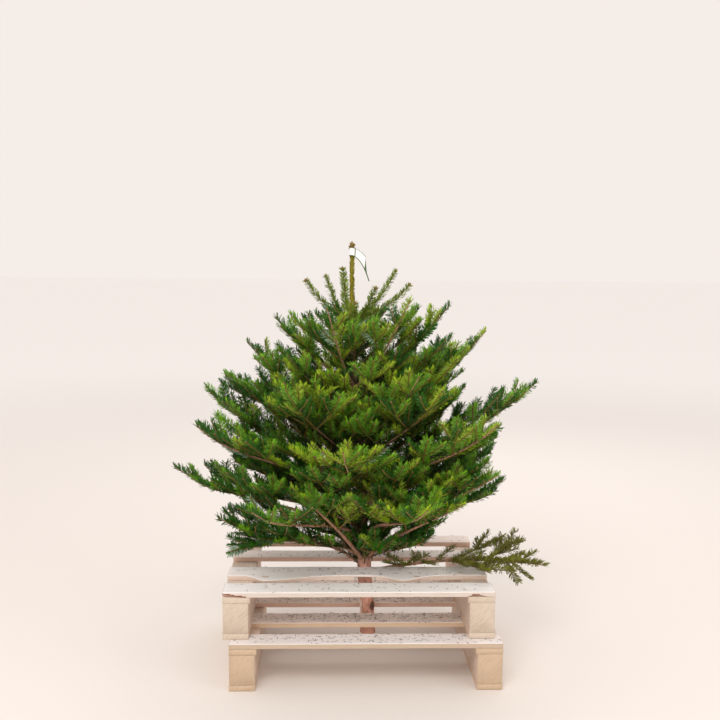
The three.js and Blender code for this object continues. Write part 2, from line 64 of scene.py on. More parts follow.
# Numbers of the stand, as the solids have them
GAP = 0.3
LENGTH, DEPTH, HEIGHT = 800, 600, 142.5
DECK = 16
UNDERSIDE = HEIGHT - DECK
LATH_THICK, LATH_WIDE, LATH_FOOT, BEAM_WIDE = 18, 80, 76, 75
LEVELS = {"lower": (0, 0, 0), "upper": (-21, 32, HEIGHT + GAP)}
BOARDS = {"lower": ((0, 78), (170, 254), (350, 422), (526, 600)),
          "upper": ((0, 86), (159, 244), (350, 424), (520, 600))}
WANE_PULL = 49
WANE_BULGES = ((115, 35, 120), (535, 48, 62))
BARK_CUTS = ((-1, 74, 11, 11), (716, 60, 11, 7))
NOTCH = {"middle": 420.5, "wide": 66, "high": 8, "deep": 24}

# Looks of the stand. A board has the colour of its sawn sides, the lighter colour of its top,
# which is painted light for the light that falls on the tops, and its knots by place, length and
# width. A part of a runner has its two sides and its foot and top, how far its pith lies from its
# middle, and its colour.
BOARD_LOOKS = {
    "lower": (((198, 179, 158), (238, 233, 233), ()),
              ((224, 196, 168), (246, 236, 232), ((640, 210, 10, 5),)),
              ((222, 188, 172), (246, 232, 225), ((215, 388, 10, 5),)),
              ((222, 188, 172), (244, 228, 220), ())),
    "upper": (((220, 210, 202), (255, 252, 253), ((690, 50, 9, 4),)),
              ((226, 210, 198), (255, 249, 249),
               ((96, 178, 13, 6), (560, 174, 12, 5), (700, 215, 8, 5))),
              ((226, 192, 176), (253, 240, 236), ((610, 408, 10, 6),)),
              ((224, 190, 174), (252, 236, 231), ())),
}
BOARD_SEEDS = {"lower": 31, "upper": 7}
RUNNER_PARTS = (
    ("foot", 0, LATH_FOOT, 0, LATH_THICK, 26, (226, 202, 182)),
    ("beam", 1, BEAM_WIDE, LATH_THICK, UNDERSIDE - LATH_THICK, 96, (228, 208, 194)),
    ("top", 0, LATH_WIDE, UNDERSIDE - LATH_THICK, UNDERSIDE, 34, (234, 214, 200)),
)
LITTER = {"lower": 5200, "upper": 1500}

# Numbers of the trunk
FOOT, TOP_WHORL, LEADER_TIP = 64, 1050, 1298
TRUNK_X, TRUNK_Y, TRUNK_LEAN, LEADER_LEAN = 357.6, 296.6, 0.0592, 0.008
TRUNK_RADII = ((FOOT, 24), (170, 23.5), (286, 20.9), (500, 16), (700, 12.5), (900, 9),
               (TOP_WHORL, 6.5), (1080, 5), (LEADER_TIP, 3.4))
SHAVED = {"z": 140, "half": 44, "depth": 4.5, "turn": 12}
KNOT = {"z": 156, "turn": -16, "reach": 12}
LABEL = {"z": 1263, "high": 26, "radius": 10.5, "out": 50, "drop": 78, "slant": 52}
LABEL_BAND, LABEL_HUB = 0.8, 7.4

# Numbers of the growth rule
TWIG_RADIUS = 2.1
BOUGH_TAPER, SIDE_TAPER = 0.5, 0.1
SIDE_YEARS, SPREAD, SIDE_SHARE, SHORTEST = (99, 2, 1), (0, 50, 46), (0, 0.72, 0.66), 75
LIFT = 0.42
# Height on the trunk, years, bare years, radius at the trunk, slopes at the trunk and at the tip,
# how far side shoots lift, and each bough's azimuth, reach and rise.
Whorl = namedtuple("Whorl", "height years bare radius slopes lift boughs")
WHORLS = {
    "tier2": Whorl(858, 3, 0, 3.6, (30, 55), LIFT, (
        (172, 250, 210), (244, 205, 250), (310, 238, 275), (8, 298, 255), (92, 240, 235))),
    "tier3": Whorl(670, 4, 0, 4.2, (32, 50), LIFT, (
        (180, 345, 320), (232, 360, 240), (296, 360, 260), (3, 398, 362), (95, 345, 300),
        (147, 508, 188), (38, 405, 324))),
    "tier4": Whorl(500, 5, 2, 4.6, (36, 45), LIFT, (
        (168, 508, 342), (207, 540, 266), (262, 470, 235), (316, 510, 290), (358, 545, 380),
        (84, 480, 310))),
    "tier5": Whorl(372, 5, 2, 6.4, (36, 38), LIFT, (
        (184, 586, 243), (232, 520, 190), (288, 500, 205), (332, 440, 250), (24, 490, 302),
        (120, 540, 270))),
    "tier6": Whorl(298, 5, 2, 6.8, (42, 32), LIFT, (
        (240, 380, 285), (190, 458, 155), (70, 480, 190), (14, 470, 232), (312, 400, 250))),
    "low_right": Whorl(262, 5, 2, 6, (14, -8), 0.2, ((357, 573, 30),)),
    "low_left": Whorl(268, 5, 2, 5.4, (50, -22), -0.04, ((180, 430, 54),)),
}
TOP_SHOOTS = Whorl(1046, 1, 0, 2.6, (30, 62), LIFT, (
    (180, 148, 144), (146, 104, 166), (116, 72, 186), (18, 150, 176), (347, 184, 133),
    (318, 96, 126), (272, 140, 88)))
# The small boughs between the whorls: height, years, reach, rise and number
INNER_BOUGHS = ((1000, 1, 110, 90, 5), (940, 2, 190, 150, 7), (765, 3, 285, 225, 8),
                (655, 3, 330, 200, 8), (590, 4, 380, 290, 8), (440, 4, 400, 215, 8),
                (400, 4, 330, 165, 7), (312, 3, 240, 110, 7), (300, 2, 110, 130, 7),
                (282, 1, 62, 96, 6))
# Single small boughs to the right and left: height, years, azimuth, reach and rise
SIDE_BOUGHS = ((600, 3, 2, 370, 190), (560, 4, 352, 400, 150), (650, 3, 178, 350, 190),
               (565, 4, 186, 390, 170), (475, 4, 176, 400, 160))
SMALL_SLOPES = (35, 50)
# The short sprays under the low right branch: share of its length, azimuth, rise and reach
CLUMP = ((0.2, 190, 6, 60), (0.22, 150, 10, 74), (0.24, 40, 12, 70), (0.23, 250, 10, 50),
         (0.26, 90, 30, 46), (0.3, 300, 8, 62), (0.38, 40, 25, 80), (0.76, 300, -50, 78),
         (0.79, 320, -38, 84))
# Seeds: the bough number of the front left bough and of the low right branch, and the first
# number of the small boughs, of the single ones and of the short sprays
FRONT_BOUGH, LOW_RIGHT, FIRST_INNER, FIRST_SIDE, FIRST_CLUMP = 51, 61, 90, 200, 900

# Needles: how far apart each kind's needles stand, as a share of the usual, and how pale their
# undersides are
NEEDLE_KINDS = {"crest": (0.62, 0.1), "deep": (1, 0.07), "fresh": (1, 0.12), "olive": (1, 0.05),
                "shade": (1.7, 0.05), "silver": (1, 1.0), "sunlit": (1, 0.12)}
MOST_FACES = 180000
# What the points of a growing line carry, which its finished mesh doesn't need
CARRIED = ("top", "share", "thick", "size", "open", "low", "high", "heading", "litter", "under")

UP = np.array((0.0, 0.0, 1.0))
EYE = np.array((275.6, -2793.6, 1250.0))

# Blender draws the offsets of its vector noise from the clock unless they are seeded
noise.seed_set(11)


# Colours and lengths
def linear(red, green, blue):
    """The colour that a screen shows as these three numbers from 0 to 255."""
    return tuple(
        v / 12.92 if v <= 0.04045 else ((v + 0.055) / 1.055) ** 2.4
        for v in (red / 255, green / 255, blue / 255)
    )


def colour_of(name, about, rgb):
    return FloatVectorProperty(name=name, description=about, subtype="COLOR", size=3, min=0, max=1,
                               default=linear(*rgb))


def length_of(name, about, millimetres):
    return FloatProperty(name=name, description=about, unit="LENGTH", subtype="DISTANCE", min=0,
                         default=millimetres / 1000)


class FirStandSettings(PropertyGroup):
    """Sizes and colours of the two half pallets."""

    worn: length_of("Worn Edge", "How far the sawn edges are rounded", 1.6)
    end_grain: colour_of("End Grain", "Sawn ends of the upper pallet", (213, 199, 183))
    lower_end: colour_of("Lower End Grain", "Sawn ends of the lower pallet", (203, 180, 154))
    late_wood: colour_of("Late Wood", "The darker lines of the growth rings", (206, 176, 148))
    knot: colour_of("Knots", "Knots in the boards", (196, 138, 84))
    bark_strip: colour_of("Bark Strip", "Bark left along a board's edge", (164, 102, 82))
    fallen: colour_of("Fallen Needles", "Dry needles on the boards", (62, 50, 34))


class FirTrunkSettings(PropertyGroup):
    """Sizes and colours of the trunk and the boughs."""

    relief: length_of("Bark Relief", "How far the bark stands out and in", 0.9)
    foot_bark: colour_of("Lower Bark", "Bark under the crown", (222, 166, 150))
    crown_bark: colour_of("Upper Bark", "Bark within the crown", (126, 104, 76))
    leader_bark: colour_of("Young Bark", "Bark of the leader", (156, 138, 44))
    bough_bark: colour_of("Bough Bark", "Bark of the boughs", (188, 142, 118))
    twig_bark: colour_of("Twig Bark", "Bark of the yearly shoots", (132, 108, 44))
    cut_wood: colour_of("Cut Wood", "The shaved side and the cut foot", (252, 238, 224))


class FirNeedleSettings(PropertyGroup):
    """Sizes and colours of the needles and buds."""

    length: length_of("Needle Length", "Length of a full needle", 25)
    width: length_of("Needle Width", "Width of a needle", 2.6)
    spacing: length_of("Needle Spacing", "Distance along a shoot from needle to needle", 0.84)
    bud: length_of("Bud Length", "Length of a bud", 6.2)
    seed: IntProperty(name="Seed", description="Changes how the needles are scattered", default=7)
    # Sunlit, fresh, deep and shade are one green painted in steps from light to shade, dealt out by
    # group_of.
    sunlit: colour_of("Sunlit", "Outer sprays in full light", (168, 198, 38))
    fresh: colour_of("Fresh", "Outer sprays", (120, 176, 28))
    deep: colour_of("Deep", "Sprays of the left side and behind", (52, 110, 14))
    shade: colour_of("Shade", "Older sprays inside the crown", (46, 70, 10))
    olive: colour_of("Olive", "Sprays of the low right branch", (130, 132, 48))
    silver: colour_of("Silver", "Undersides of the turned sprays", (150, 184, 160))
    crest: colour_of("Crest", "Shoots of the top whorl", (140, 164, 50))
    leader: colour_of("Leader", "Short needles along the leader", (150, 146, 38))
    bud_scale: colour_of("Buds", "Bud scales", (144, 118, 70))


class FirLabelSettings(PropertyGroup):
    """Sizes and colours of the plain strip wound round the leader."""

    border: length_of("Border", "Width of the coloured edge", 2.6)
    paper: colour_of("Strip", "The plain strip", (244, 242, 242))
    edge: colour_of("Edge", "The coloured edge", (66, 98, 58))


class FirStageSettings(PropertyGroup):
    """Floor and light."""

    floor: colour_of("Floor", "The plain floor", (233, 228, 224))
    key_power: FloatProperty(name="Key Light", description="Power of the main light", default=66,
                             min=0, unit="POWER")
    sky: FloatProperty(name="Sky", description="Strength of the light from all round", default=1.04,
                       min=0)


def settings(group):
    return getattr(bpy.context.scene, group)


# Wiring nodes
class Value:
    """A number that comes out of a node. Arithmetic on it adds Math nodes."""

    def __init__(self, net, socket):
        self.net = net
        self.socket = socket

    def math(self, operation, *others):
        return self.net.add("ShaderNodeMath", {"operation": operation},
                            dict(enumerate((self, *others))))

    def __add__(self, other):
        return self.math("ADD", other)

    def __mul__(self, other):
        return self.math("MULTIPLY", other)

    def __sub__(self, other):
        return self.math("SUBTRACT", other)

    def __rsub__(self, other):
        return self.net.add("ShaderNodeMath", {"operation": "SUBTRACT"}, {0: other, 1: self})

    def __truediv__(self, other):
        return self.math("DIVIDE", other)

    __radd__ = __add__
    __rmul__ = __mul__


class Net:
    """A node tree that is being wired."""

    def __init__(self, tree):
        self.tree = tree
        tree.nodes.clear()

    def add(self, kind, setup=None, inputs=None, output=0):
        """Adds a node: its own settings first, then the values or links of its sockets."""
        node = self.tree.nodes.new(kind)
        for key, value in (setup or {}).items():
            if key == "stops":
                self.set_stops(node.color_ramp, value)
            else:
                setattr(node, key, value)
        for key, value in (inputs or {}).items():
            if isinstance(value, Value):
                self.tree.links.new(value.socket, node.inputs[key])
            else:
                node.inputs[key].default_value = value
        return Value(self, node.outputs[output]) if node.outputs else node

    @staticmethod
    def set_stops(ramp, stops):
        while len(ramp.elements) < len(stops):
            ramp.elements.new(0.5)
        for element, (place, colour) in zip(ramp.elements, stops):
            element.position = place
            element.color = (*colour, 1) if len(colour) == 3 else colour

    def vector(self, operation, *values, output="Vector"):
        return self.add("ShaderNodeVectorMath", {"operation": operation},
                        dict(enumerate(values)), output)


class Finish(Net):
    """A material whose patterns are worked out from where a point lies on the object."""

    def __init__(self, name):
        self.material = bpy.data.materials.new(name)
        self.material.use_nodes = True
        super().__init__(self.material.node_tree)
        self.place = self.add("ShaderNodeTexCoord", output="Object")

    def mapped(self, scale, shift=(0, 0, 0)):
        return self.add("ShaderNodeMapping", {"vector_type": "POINT"},
                        {"Vector": self.place, "Location": shift, "Scale": scale})

    def noise(self, scale, detail=2.0, at=None):
        return self.add("ShaderNodeTexNoise", None,
                        {"Vector": at or self.place, "Scale": scale, "Detail": detail})

    def ramp(self, value, low, high, start=0.0, end=1.0):
        """Rises smoothly from start to end as the value goes from low to high."""
        return self.add("ShaderNodeMapRange", {"interpolation_type": "SMOOTHSTEP"},
                        {"Value": value, "From Min": low, "From Max": high, "To Min": start,
                         "To Max": end})

    def mix(self, share, first, second):
        def full(colour):
            return colour if isinstance(colour, Value) else (*colour[:3], 1)

        return self.add("ShaderNodeMix", {"data_type": "RGBA"},
                        {0: share, 6: full(first), 7: full(second)}, 2)

    def part(self, axis):
        """One coordinate of the place on the object."""
        return self.add("ShaderNodeSeparateXYZ", None, {0: self.place}, axis)

    def away(self, spot, scale):
        """How far a place lies from a spot, each direction drawn out by its scale."""
        shift = [-v * k for v, k in zip(in_metres(spot), scale)]
        return self.vector("LENGTH", self.mapped(scale, shift), output="Value")

    def surface(self, colour, rough, height=None, depth=0.0, **fixed):
        """Joins the colour, the roughness and the relief to the surface."""
        inputs = {"Base Color": colour if isinstance(colour, Value) else (*colour[:3], 1),
                  "Roughness": rough, **{key.replace("_", " "): v for key, v in fixed.items()}}
        if height is not None:
            inputs["Normal"] = self.add("ShaderNodeBump", None,
                                        {"Height": height, "Distance": depth, "Strength": 1.0})
        shader = self.add("ShaderNodeBsdfPrincipled", None, inputs)
        self.add("ShaderNodeOutputMaterial", None, {"Surface": shader})
        return self.material


class Growth(Net):
    """A Geometry Nodes tree with named inputs."""

    KINDS = {float: "NodeSocketFloat", int: "NodeSocketInt"}

    def __init__(self, name, inputs):
        tree = bpy.data.node_groups.new(name, "GeometryNodeTree")
        super().__init__(tree)
        tree.interface.new_socket("Geometry", in_out="INPUT", socket_type="NodeSocketGeometry")
        for label, default in inputs.items():
            kind = default if isinstance(default, str) else self.KINDS[type(default)]
            socket = tree.interface.new_socket(label, in_out="INPUT", socket_type=kind)
            if not isinstance(default, str):
                socket.default_value = default
        tree.interface.new_socket("Geometry", in_out="OUTPUT", socket_type="NodeSocketGeometry")
        self.inlet = tree.nodes.new("NodeGroupInput")

    def given(self, label):
        return Value(self, self.inlet.outputs[label])

    def attribute(self, name, kind="FLOAT"):
        return self.add("GeometryNodeInputNamedAttribute", {"data_type": kind}, {"Name": name})

    def random(self, low, high, salt):
        """A number between low and high for each point."""
        return self.add("FunctionNodeRandomValue", {"data_type": "FLOAT"},
                        {2: low, 3: high, "Seed": self.given("Seed") + salt}, 1)

    def lines(self):
        """The given edges as curves."""
        return self.add("GeometryNodeMeshToCurve", None, {"Mesh": self.given("Geometry")})

    def facing(self, heading, top):
        """The turn that points x along the heading and z as near the top as it can."""
        return self.add("FunctionNodeAxesToRotation",
                        {"primary_axis": "X", "secondary_axis": "Z"},
                        {"Primary Axis": heading, "Secondary Axis": top})

    def copies(self, points, model, rotation, length, width):
        """Copies of the given object on the points, each of its length and width."""
        scale = self.add("ShaderNodeCombineXYZ", None, {0: length, 1: width, 2: width})
        shape = self.add("GeometryNodeObjectInfo", {"transform_space": "ORIGINAL"},
                         {"Object": self.given(model)}, "Geometry")
        return self.add("GeometryNodeInstanceOnPoints", None,
                        {"Points": points, "Instance": shape, "Rotation": rotation,
                         "Scale": scale})

    def painted(self, geometry, finish, **only):
        return self.add("GeometryNodeSetMaterial", None,
                        {"Geometry": geometry, "Material": self.given(finish), **only})

    def finish(self, geometry, finish, **accents):
        """Makes the copies real and gives them their finish. An accent is a second finish by the
        name of the attribute that marks its faces."""
        made = self.add("GeometryNodeRealizeInstances", None, {"Geometry": geometry})
        made = self.painted(made, finish)
        for marked, second in accents.items():
            made = self.painted(made, second, Selection=self.attribute(marked, "BOOLEAN"))
        self.add("NodeGroupOutput", None, {"Geometry": made})
        return self.tree


def in_metres(points):
    """Points of the stand's own frame, in metres of the frame that all parts share."""
    return np.asarray(points) / 1000 + ORIGIN


def mesh_of(name, points, polygons, smooth=False, edges=()):
    """A mesh of points in millimetres of the stand's own frame."""
    mesh = bpy.data.meshes.new(name)
    mesh.from_pydata(in_metres(points).tolist(), edges, polygons)
    if smooth:
        mesh.polygons.foreach_set("use_smooth", [True] * len(polygons))
    mesh.validate()
    return mesh


def with_facts(mesh, rows):
    """Gives each point of a mesh the numbers and vectors of its row."""
    for key, value in rows[0].items():
        column = np.array([row[key] for row in rows], np.float32)
        kind, field = ("FLOAT_VECTOR", "vector") if np.ndim(value) else ("FLOAT", "value")
        mesh.attributes.new(key, kind, "POINT").data.foreach_set(field, column.ravel())
    return mesh


def shown(name, mesh):
    obj = bpy.data.objects.new(name, mesh)
    bpy.context.scene.collection.objects.link(obj)
    return obj


def dress(obj, slot, *nodes):
    """Hands a finished piece to the frame."""
    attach(obj, "root")
    if nodes:
        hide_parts(*nodes)
    return obj


def grown(name, tree, mesh, values):
    """A plain mesh of what the tree makes from this one."""
    carrier = shown(f"{name}_lines", mesh)
    modifier = carrier.modifiers.new("growth", "NODES")
    modifier.node_group = tree
    for item in tree.interface.items_tree:
        if item.in_out == "INPUT" and item.name in values:
            modifier[item.identifier] = values[item.name]
    graph = bpy.context.evaluated_depsgraph_get()
    made = bpy.data.meshes.new_from_object(carrier.evaluated_get(graph), depsgraph=graph)
    bpy.data.objects.remove(carrier)
    bpy.data.meshes.remove(mesh)
    for label in CARRIED:
        if label in made.attributes:
            made.attributes.remove(made.attributes[label])
    if not len(made.polygons):
        raise RuntimeError(f"{name} has no faces")
    made.name = name
    return shown(name, made)


# The wood of the stand
def growth_rings(look, along, pith, knots):
    """Where the late wood and the knots are. The rings lie round a pith that runs along one axis of
    the object, and they swing round each knot."""
    drawn = [1.0, 1.0, 1.0]
    drawn[along] = 0.06
    shift = [-c * d for c, d in zip(in_metres(pith), drawn)]
    shift[along] = 0
    squeezed = look.mapped(drawn, shift)
    wander = look.noise(14, 2, squeezed) - 0.5
    radius = look.vector("LENGTH", squeezed, output="Value") + wander * 0.016
    knot_mark = None
    for x, y, long, wide in knots:
        away = look.away((x, y, 0), (1000 / long, 1000 / wide, 0))
        radius = radius + look.ramp(away, 0, 3.4, 0.012, 0)
        mark = look.ramp(away, 0.6, 1.1, 1, 0)
        knot_mark = mark if knot_mark is None else knot_mark.math("MAXIMUM", mark)
    ring_width = 0.0042
    ring = (radius / ring_width).math("FRACT")
    late = look.ramp(ring, 0.35, 0.92) * look.ramp(ring, 0.93, 1.0, 1, 0)
    return late, knot_mark


def wood(name, along, pith, tone, knots=(), end=False, soil=0.16, top=None):
    """Sawn softwood. end is for a face sawn across the grain, with the slanting marks of the saw.
    top is the height and the lighter colour of the upper face: painted light on the tops."""
    stand = settings("fir_stand")
    look = Finish(name)
    late, knot_mark = growth_rings(look, along, pith, knots)
    if end:
        late_share, fibre_share = 0.32, 0.34
        sawn = look.add("ShaderNodeMapping", {"vector_type": "TEXTURE"},
                        {"Vector": look.place, "Rotation": (0.0, -0.85, 0.0),
                         "Scale": (7.0, 1.0, 1.0)})
        fibre = look.noise(330, 3, sawn)
    else:
        late_share, fibre_share = 0.28, 0.22
        streaked = [1.0, 1.0, 1.0]
        streaked[along] = 0.03
        fibre = look.noise(520, 2, look.mapped(streaked))
    if top:
        height, lit_top = top
        # Painted light: the upper face takes the lighter top colour, as the tops catch more light
        # than the sides.
        above = look.ramp(look.part("Z") - in_metres((0, 0, height))[2], -0.0022, -0.0009)
        tone = look.mix(above, tone, lit_top)
    dark_fibre, dirt = linear(178, 146, 112), linear(196, 170, 150)
    colour = look.mix(late * late_share, tone, stand.late_wood)
    colour = look.mix(look.ramp(fibre, 0.46, 0.7, 0, fibre_share), colour, dark_fibre)
    colour = look.mix(look.ramp(look.noise(9, 3), 0.45, 0.75, 0, soil), colour, dirt)
    if top:
        # Painted light laid again over the grain and dirt of the upper face.
        colour = look.mix(above * 0.6, colour, lit_top)
    if knot_mark:
        core = look.ramp(look.noise(160, 2), 0.3, 0.7, 0.55, 0.9)
        colour = look.mix(knot_mark * core, colour, stand.knot)
    relief = late * 0.5 + fibre * 0.5 + look.noise(60, 2) * 0.4
    return look.surface(colour, look.ramp(fibre, 0.3, 0.7, 0.62, 0.82), relief, 0.0007,
                        Specular_IOR_Level=0.25)


def plain_finish(name, colour, other, scale, rough=0.7, depth=0.0004):
    """A finish that wavers between two near colours."""
    look = Finish(name)
    grain = look.noise(scale, 3)
    return look.surface(look.mix(look.ramp(grain, 0.35, 0.65), colour, other), rough, grain,
                        depth, Specular_IOR_Level=0.3)


def section(wide, high, worn):
    """Points round a sawn section from its front lower corner, as places across and up."""
    corners = ((worn, worn, 180), (wide - worn, worn, 270), (wide - worn, high - worn, 0),
               (worn, high - worn, 90))
    steps = (max(4, round(wide / 9)), 5)

    def rounded(corner, turn):
        across, up, start = corner
        angle = math.radians(start + turn)
        return across + worn * math.cos(angle), up + worn * math.sin(angle)

    points = []
    for i, corner in enumerate(corners):
        points += [rounded(corner, turn) for turn in (0, 30, 60, 90)]
        first, last = points[-1], rounded(corners[(i + 1) % 4], 0)
        count = steps[i % 2]
        points += [tuple(a + (b - a) * n / count for a, b in zip(first, last))
                   for n in range(1, count)]
    return points


def sawn_place(p, along, seed):
    """Where the saw really left a point: it wanders slowly and a little roughly, and never under
    the ground."""
    drift = noise.noise_vector(Vector(p / 130) + Vector((seed, 0, 0))) * 0.45
    fine = noise.noise_vector(Vector(p / 16) + Vector((0, seed, 0))) * 0.22
    move = np.array(drift + fine)
    move[along] *= 0.6
    moved = p + move
    moved[2] = max(moved[2], 0)
    return moved


def tube_polygons(rings, sides, base=0):
    """The faces of a closed tube whose points lie in rings, those round it before its two ends."""
    quads = [(base + i * sides + k, base + i * sides + (k + 1) % sides,
              base + (i + 1) * sides + (k + 1) % sides, base + (i + 1) * sides + k)
             for i in range(rings - 1) for k in range(sides)]
    first = tuple(range(base, base + sides))[::-1]
    last = tuple(range(base + (rings - 1) * sides, base + rings * sides))
    return quads + [first, last]


def plank(name, along, low, high, seed, materials, carve=None, marks=None, stations=()):
    """A sawn length of wood with worn, slightly wandering edges. carve moves the points of a
    section, marks picks the material of a face from its middle, and stations are places along it
    that need a section of their own."""
    worn = settings("fir_stand").worn * 1000
    across = 1 - along
    size = high - low
    wide, tall, total = size[across], size[2], size[along]
    ring = section(wide, tall, worn)
    inner = np.linspace(worn, total - worn, max(6, int(total / 11)))
    stations = sorted([0.0, total, *inner, *stations])
    points = []
    for s in stations:
        shrink = worn * 0.8 if s in (0.0, total) else 0.0
        for a, b in ring:
            a = a + shrink * (1 - 2 * a / wide)
            b = b + shrink * (1 - 2 * b / tall)
            if carve:
                a, b = carve(s, a, b)
            p = low.astype(float)
            p[along] += s
            p[across] += a
            p[2] += b
            points.append(sawn_place(p, along, seed))
    polygons = tube_polygons(len(stations), len(ring))
    if along == 0:
        polygons = [polygon[::-1] for polygon in polygons]
    ends = (0, len(stations) - 2)
    kinds = [int(i in ends) for i in range(len(stations) - 1) for _ in ring] + [1, 1]
    if marks:
        middles = np.array([np.mean([points[v] for v in polygon], 0) for polygon in polygons])
        kinds = [marks(middle) or kind for middle, kind in zip(middles, kinds)]
    mesh = mesh_of(name, points, polygons)
    mesh.polygons.foreach_set("use_smooth", [kind < 2 for kind in kinds])
    mesh.polygons.foreach_set("material_index", kinds)
    for material in materials:
        mesh.materials.append(material)
    return shown(name, mesh)


def wane_pull(x):
    """How far the natural edge of the upper second board stands forward at this place."""
    return sum(WANE_PULL * math.exp(-(((x - at) / (left if x < at else right)) ** 2))
               for at, left, right in WANE_BULGES)


def wane_carve(s, a, b):
    """The section of the upper second board: its front edge bulges and is worn round, and a notch
    is cut in its lower front edge."""
    pull = wane_pull(s)
    wide = BOARDS["upper"][1][1] - BOARDS["upper"][1][0]
    near = 1 - a / wide
    rough = noise.noise(Vector((s / 31, b / 9, 3.7))) * 1.6
    if near > 0.9:
        b = b - min(1.6, pull * 0.03) * ((near - 0.9) / 0.1) ** 2 * (b / DECK)
        a = a + rough * (0.35 if pull < 12 else 1)
        a = a + min(13, pull * 0.36) * (1 - b / DECK) ** 1.3
    a = a - pull * near
    inside = abs(s - NOTCH["middle"]) < NOTCH["wide"] / 2
    if inside and b < NOTCH["high"] - 0.5 and a < NOTCH["deep"]:
        a = NOTCH["deep"]
    return a, b


def front_carve(s, a, b):
    """The section of the upper front board: bark is missing under its front edge near both ends."""
    for start, reach, deep, high in BARK_CUTS:
        edge = cut_edge(s, start, reach, high)
        if edge > 0.2 and a < deep:
            b = max(b, edge * (1 - a / deep))
    return a, b


def cut_edge(s, start, reach, high):
    """How high the lower front edge of the upper front board stands over its underside."""
    left = start + reach - s
    if s < start or left < 0:
        return 0
    fade = 20
    return high * (left / reach if start < 0 else min(1, left / fade, (s - start) / fade))


class FIR_OT_boards(Operator):
    """Lay the eight deck boards of the two pallets."""

    bl_idname = "fir.boards"
    bl_label = "Deck Boards"

    def execute(self, context):
        stand = context.scene.fir_stand
        strip = plain_finish("bark_strip", stand.bark_strip, linear(112, 62, 50), 120, 0.85)
        # Painted shade: the notch is given a dark red-brown for the shade inside it.
        hollow = plain_finish("notch_wood", linear(112, 66, 52), linear(70, 40, 34), 70, 0.9)
        beside = [NOTCH["middle"] + side * NOTCH["wide"] / 2 + step
                  for side in (-1, 1) for step in (-0.4, 0.4)]
        shaped = {"upper_board_1": ([strip], front_carve, self.strip_mark, ()),
                  "upper_board_2": ([hollow], wane_carve, self.notch_mark, beside)}
        for level, shift in LEVELS.items():
            for i, (front, back) in enumerate(BOARDS[level]):
                name = f"{level}_board_{i + 1}"
                tone, lit_top, knots = BOARD_LOOKS[level][i]
                low = np.array((0, front, UNDERSIDE + GAP)) + shift
                high = np.array((LENGTH, back, HEIGHT)) + shift
                seed = BOARD_SEEDS[level] + i * 5
                pith = (low + high) / 2 + (0, seed * 37 % 60 - 30, -42 - seed % 5 * 9)
                finishes = [wood(f"{name}_wood", 0, pith, linear(*tone), knots,
                                 top=(high[2], linear(*lit_top))),
                            wood(f"{name}_end", 0, pith, stand.end_grain, end=True)]
                extra, *shaping = shaped.get(name, ([], None, None, ()))
                board = plank(f"{name}_planed", 0, low, high, seed, finishes + extra, *shaping)
                dress(board, "deck_wood", name)
        return {"FINISHED"}

    @staticmethod
    # Picks the faces of the notch that carry its painted shade.
    def notch_mark(middle):
        x, y, z = middle - LEVELS["upper"]
        inside = abs(x - NOTCH["middle"]) < NOTCH["wide"] / 2 + 0.5
        low = z < UNDERSIDE + NOTCH["high"] and y < BOARDS["upper"][1][0] + 25
        return 2 if inside and low else 0

    @staticmethod
    def strip_mark(middle):
        x, y, z = middle - LEVELS["upper"]
        for start, reach, deep, high in BARK_CUTS:
            edge = cut_edge(x, start, reach, high)
            above = z - UNDERSIDE - edge
            if edge > 0.4 and y < deep and above < 2.4:
                near = start < 0 or abs(x - start - reach / 2) < 12
                lowest = -3 if start > 0 else -1.5
                return 2 if near and above > lowest else 1
        return 0


class FIR_OT_runners(Operator):
    """Set the four runners: a beam between a foot lath and a wider top lath."""

    bl_idname = "fir.runners"
    bl_label = "Runners"

    def execute(self, context):
        stand = context.scene.fir_stand
        grain = {"lower": stand.lower_end, "upper": stand.end_grain}
        for level, shift in LEVELS.items():
            for side in ("left", "right"):
                node = f"{level}_runner_{side}"
                for part, x0, x1, z0, z1, lift, rgb in RUNNER_PARTS:
                    near, far = (x0, x1) if side == "left" else (LENGTH - x1, LENGTH - x0)
                    low = np.array((near, 0, z0)) + shift
                    high = np.array((far, DEPTH, z1)) + shift
                    seed = len(node) * 3 + lift + (5 if side == "left" else 11)
                    pith = (low + high) / 2
                    pith += (seed % 7 * 6 - 18, 0, -lift if part == "beam" else lift)
                    name = f"{node}_{part}"
                    finishes = [wood(f"{name}_wood", 1, pith, linear(*rgb), soil=0.4),
                                wood(f"{name}_end", 1, pith, grain[level], end=True, soil=0.1)]
                    dress(plank(name, 1, low, high, seed, finishes), "runner_wood", node)
        return {"FINISHED"}


# The growth rule, as the solids have it
def chance(seed):
    """A number from 0 to 1 that a seed always gives."""
    v = math.sin(seed * 12.9898 + 4.137) * 43758.5453
    return v - math.floor(v)


def unit(v):
    return v / np.linalg.norm(v)


def turned(first, second, angle):
    """The direction that lies this far round from the first one towards the second."""
    return first * math.cos(angle) + second * math.sin(angle)


def level_heading(azimuth):
    """The level direction so many degrees round from the right."""
    angle = math.radians(azimuth)
    return np.array((math.cos(angle), math.sin(angle), 0))


def square_to(tangent):
    """The level direction across a heading, and the one square to both that points up."""
    across = unit(np.cross(tangent, UP))
    return across, np.cross(across, tangent)


def span(points):
    """The length of a line through these points."""
    return sum(np.linalg.norm(b - a) for a, b in zip(points, points[1:]))


def trunk_at(z):
    """The middle of the trunk at this height."""
    x = TRUNK_X + TRUNK_LEAN * max(0, TOP_WHORL - z) - LEADER_LEAN * max(0, z - TOP_WHORL)
    return np.array((x, TRUNK_Y, z))


def trunk_radius(z):
    heights, radii = zip(*TRUNK_RADII)
    return float(np.interp(z, heights, radii))


def point_on(c, u):
    """The place on a cubic curve at this share of the way."""
    v = 1 - u
    return c[0] * v**3 + c[1] * 3 * u * v * v + c[2] * 3 * u * u * v + c[3] * u**3


def heading_on(c, u):
    v = 1 - u
    return unit((c[1] - c[0]) * v * v + (c[2] - c[1]) * 2 * u * v + (c[3] - c[2]) * u * u)


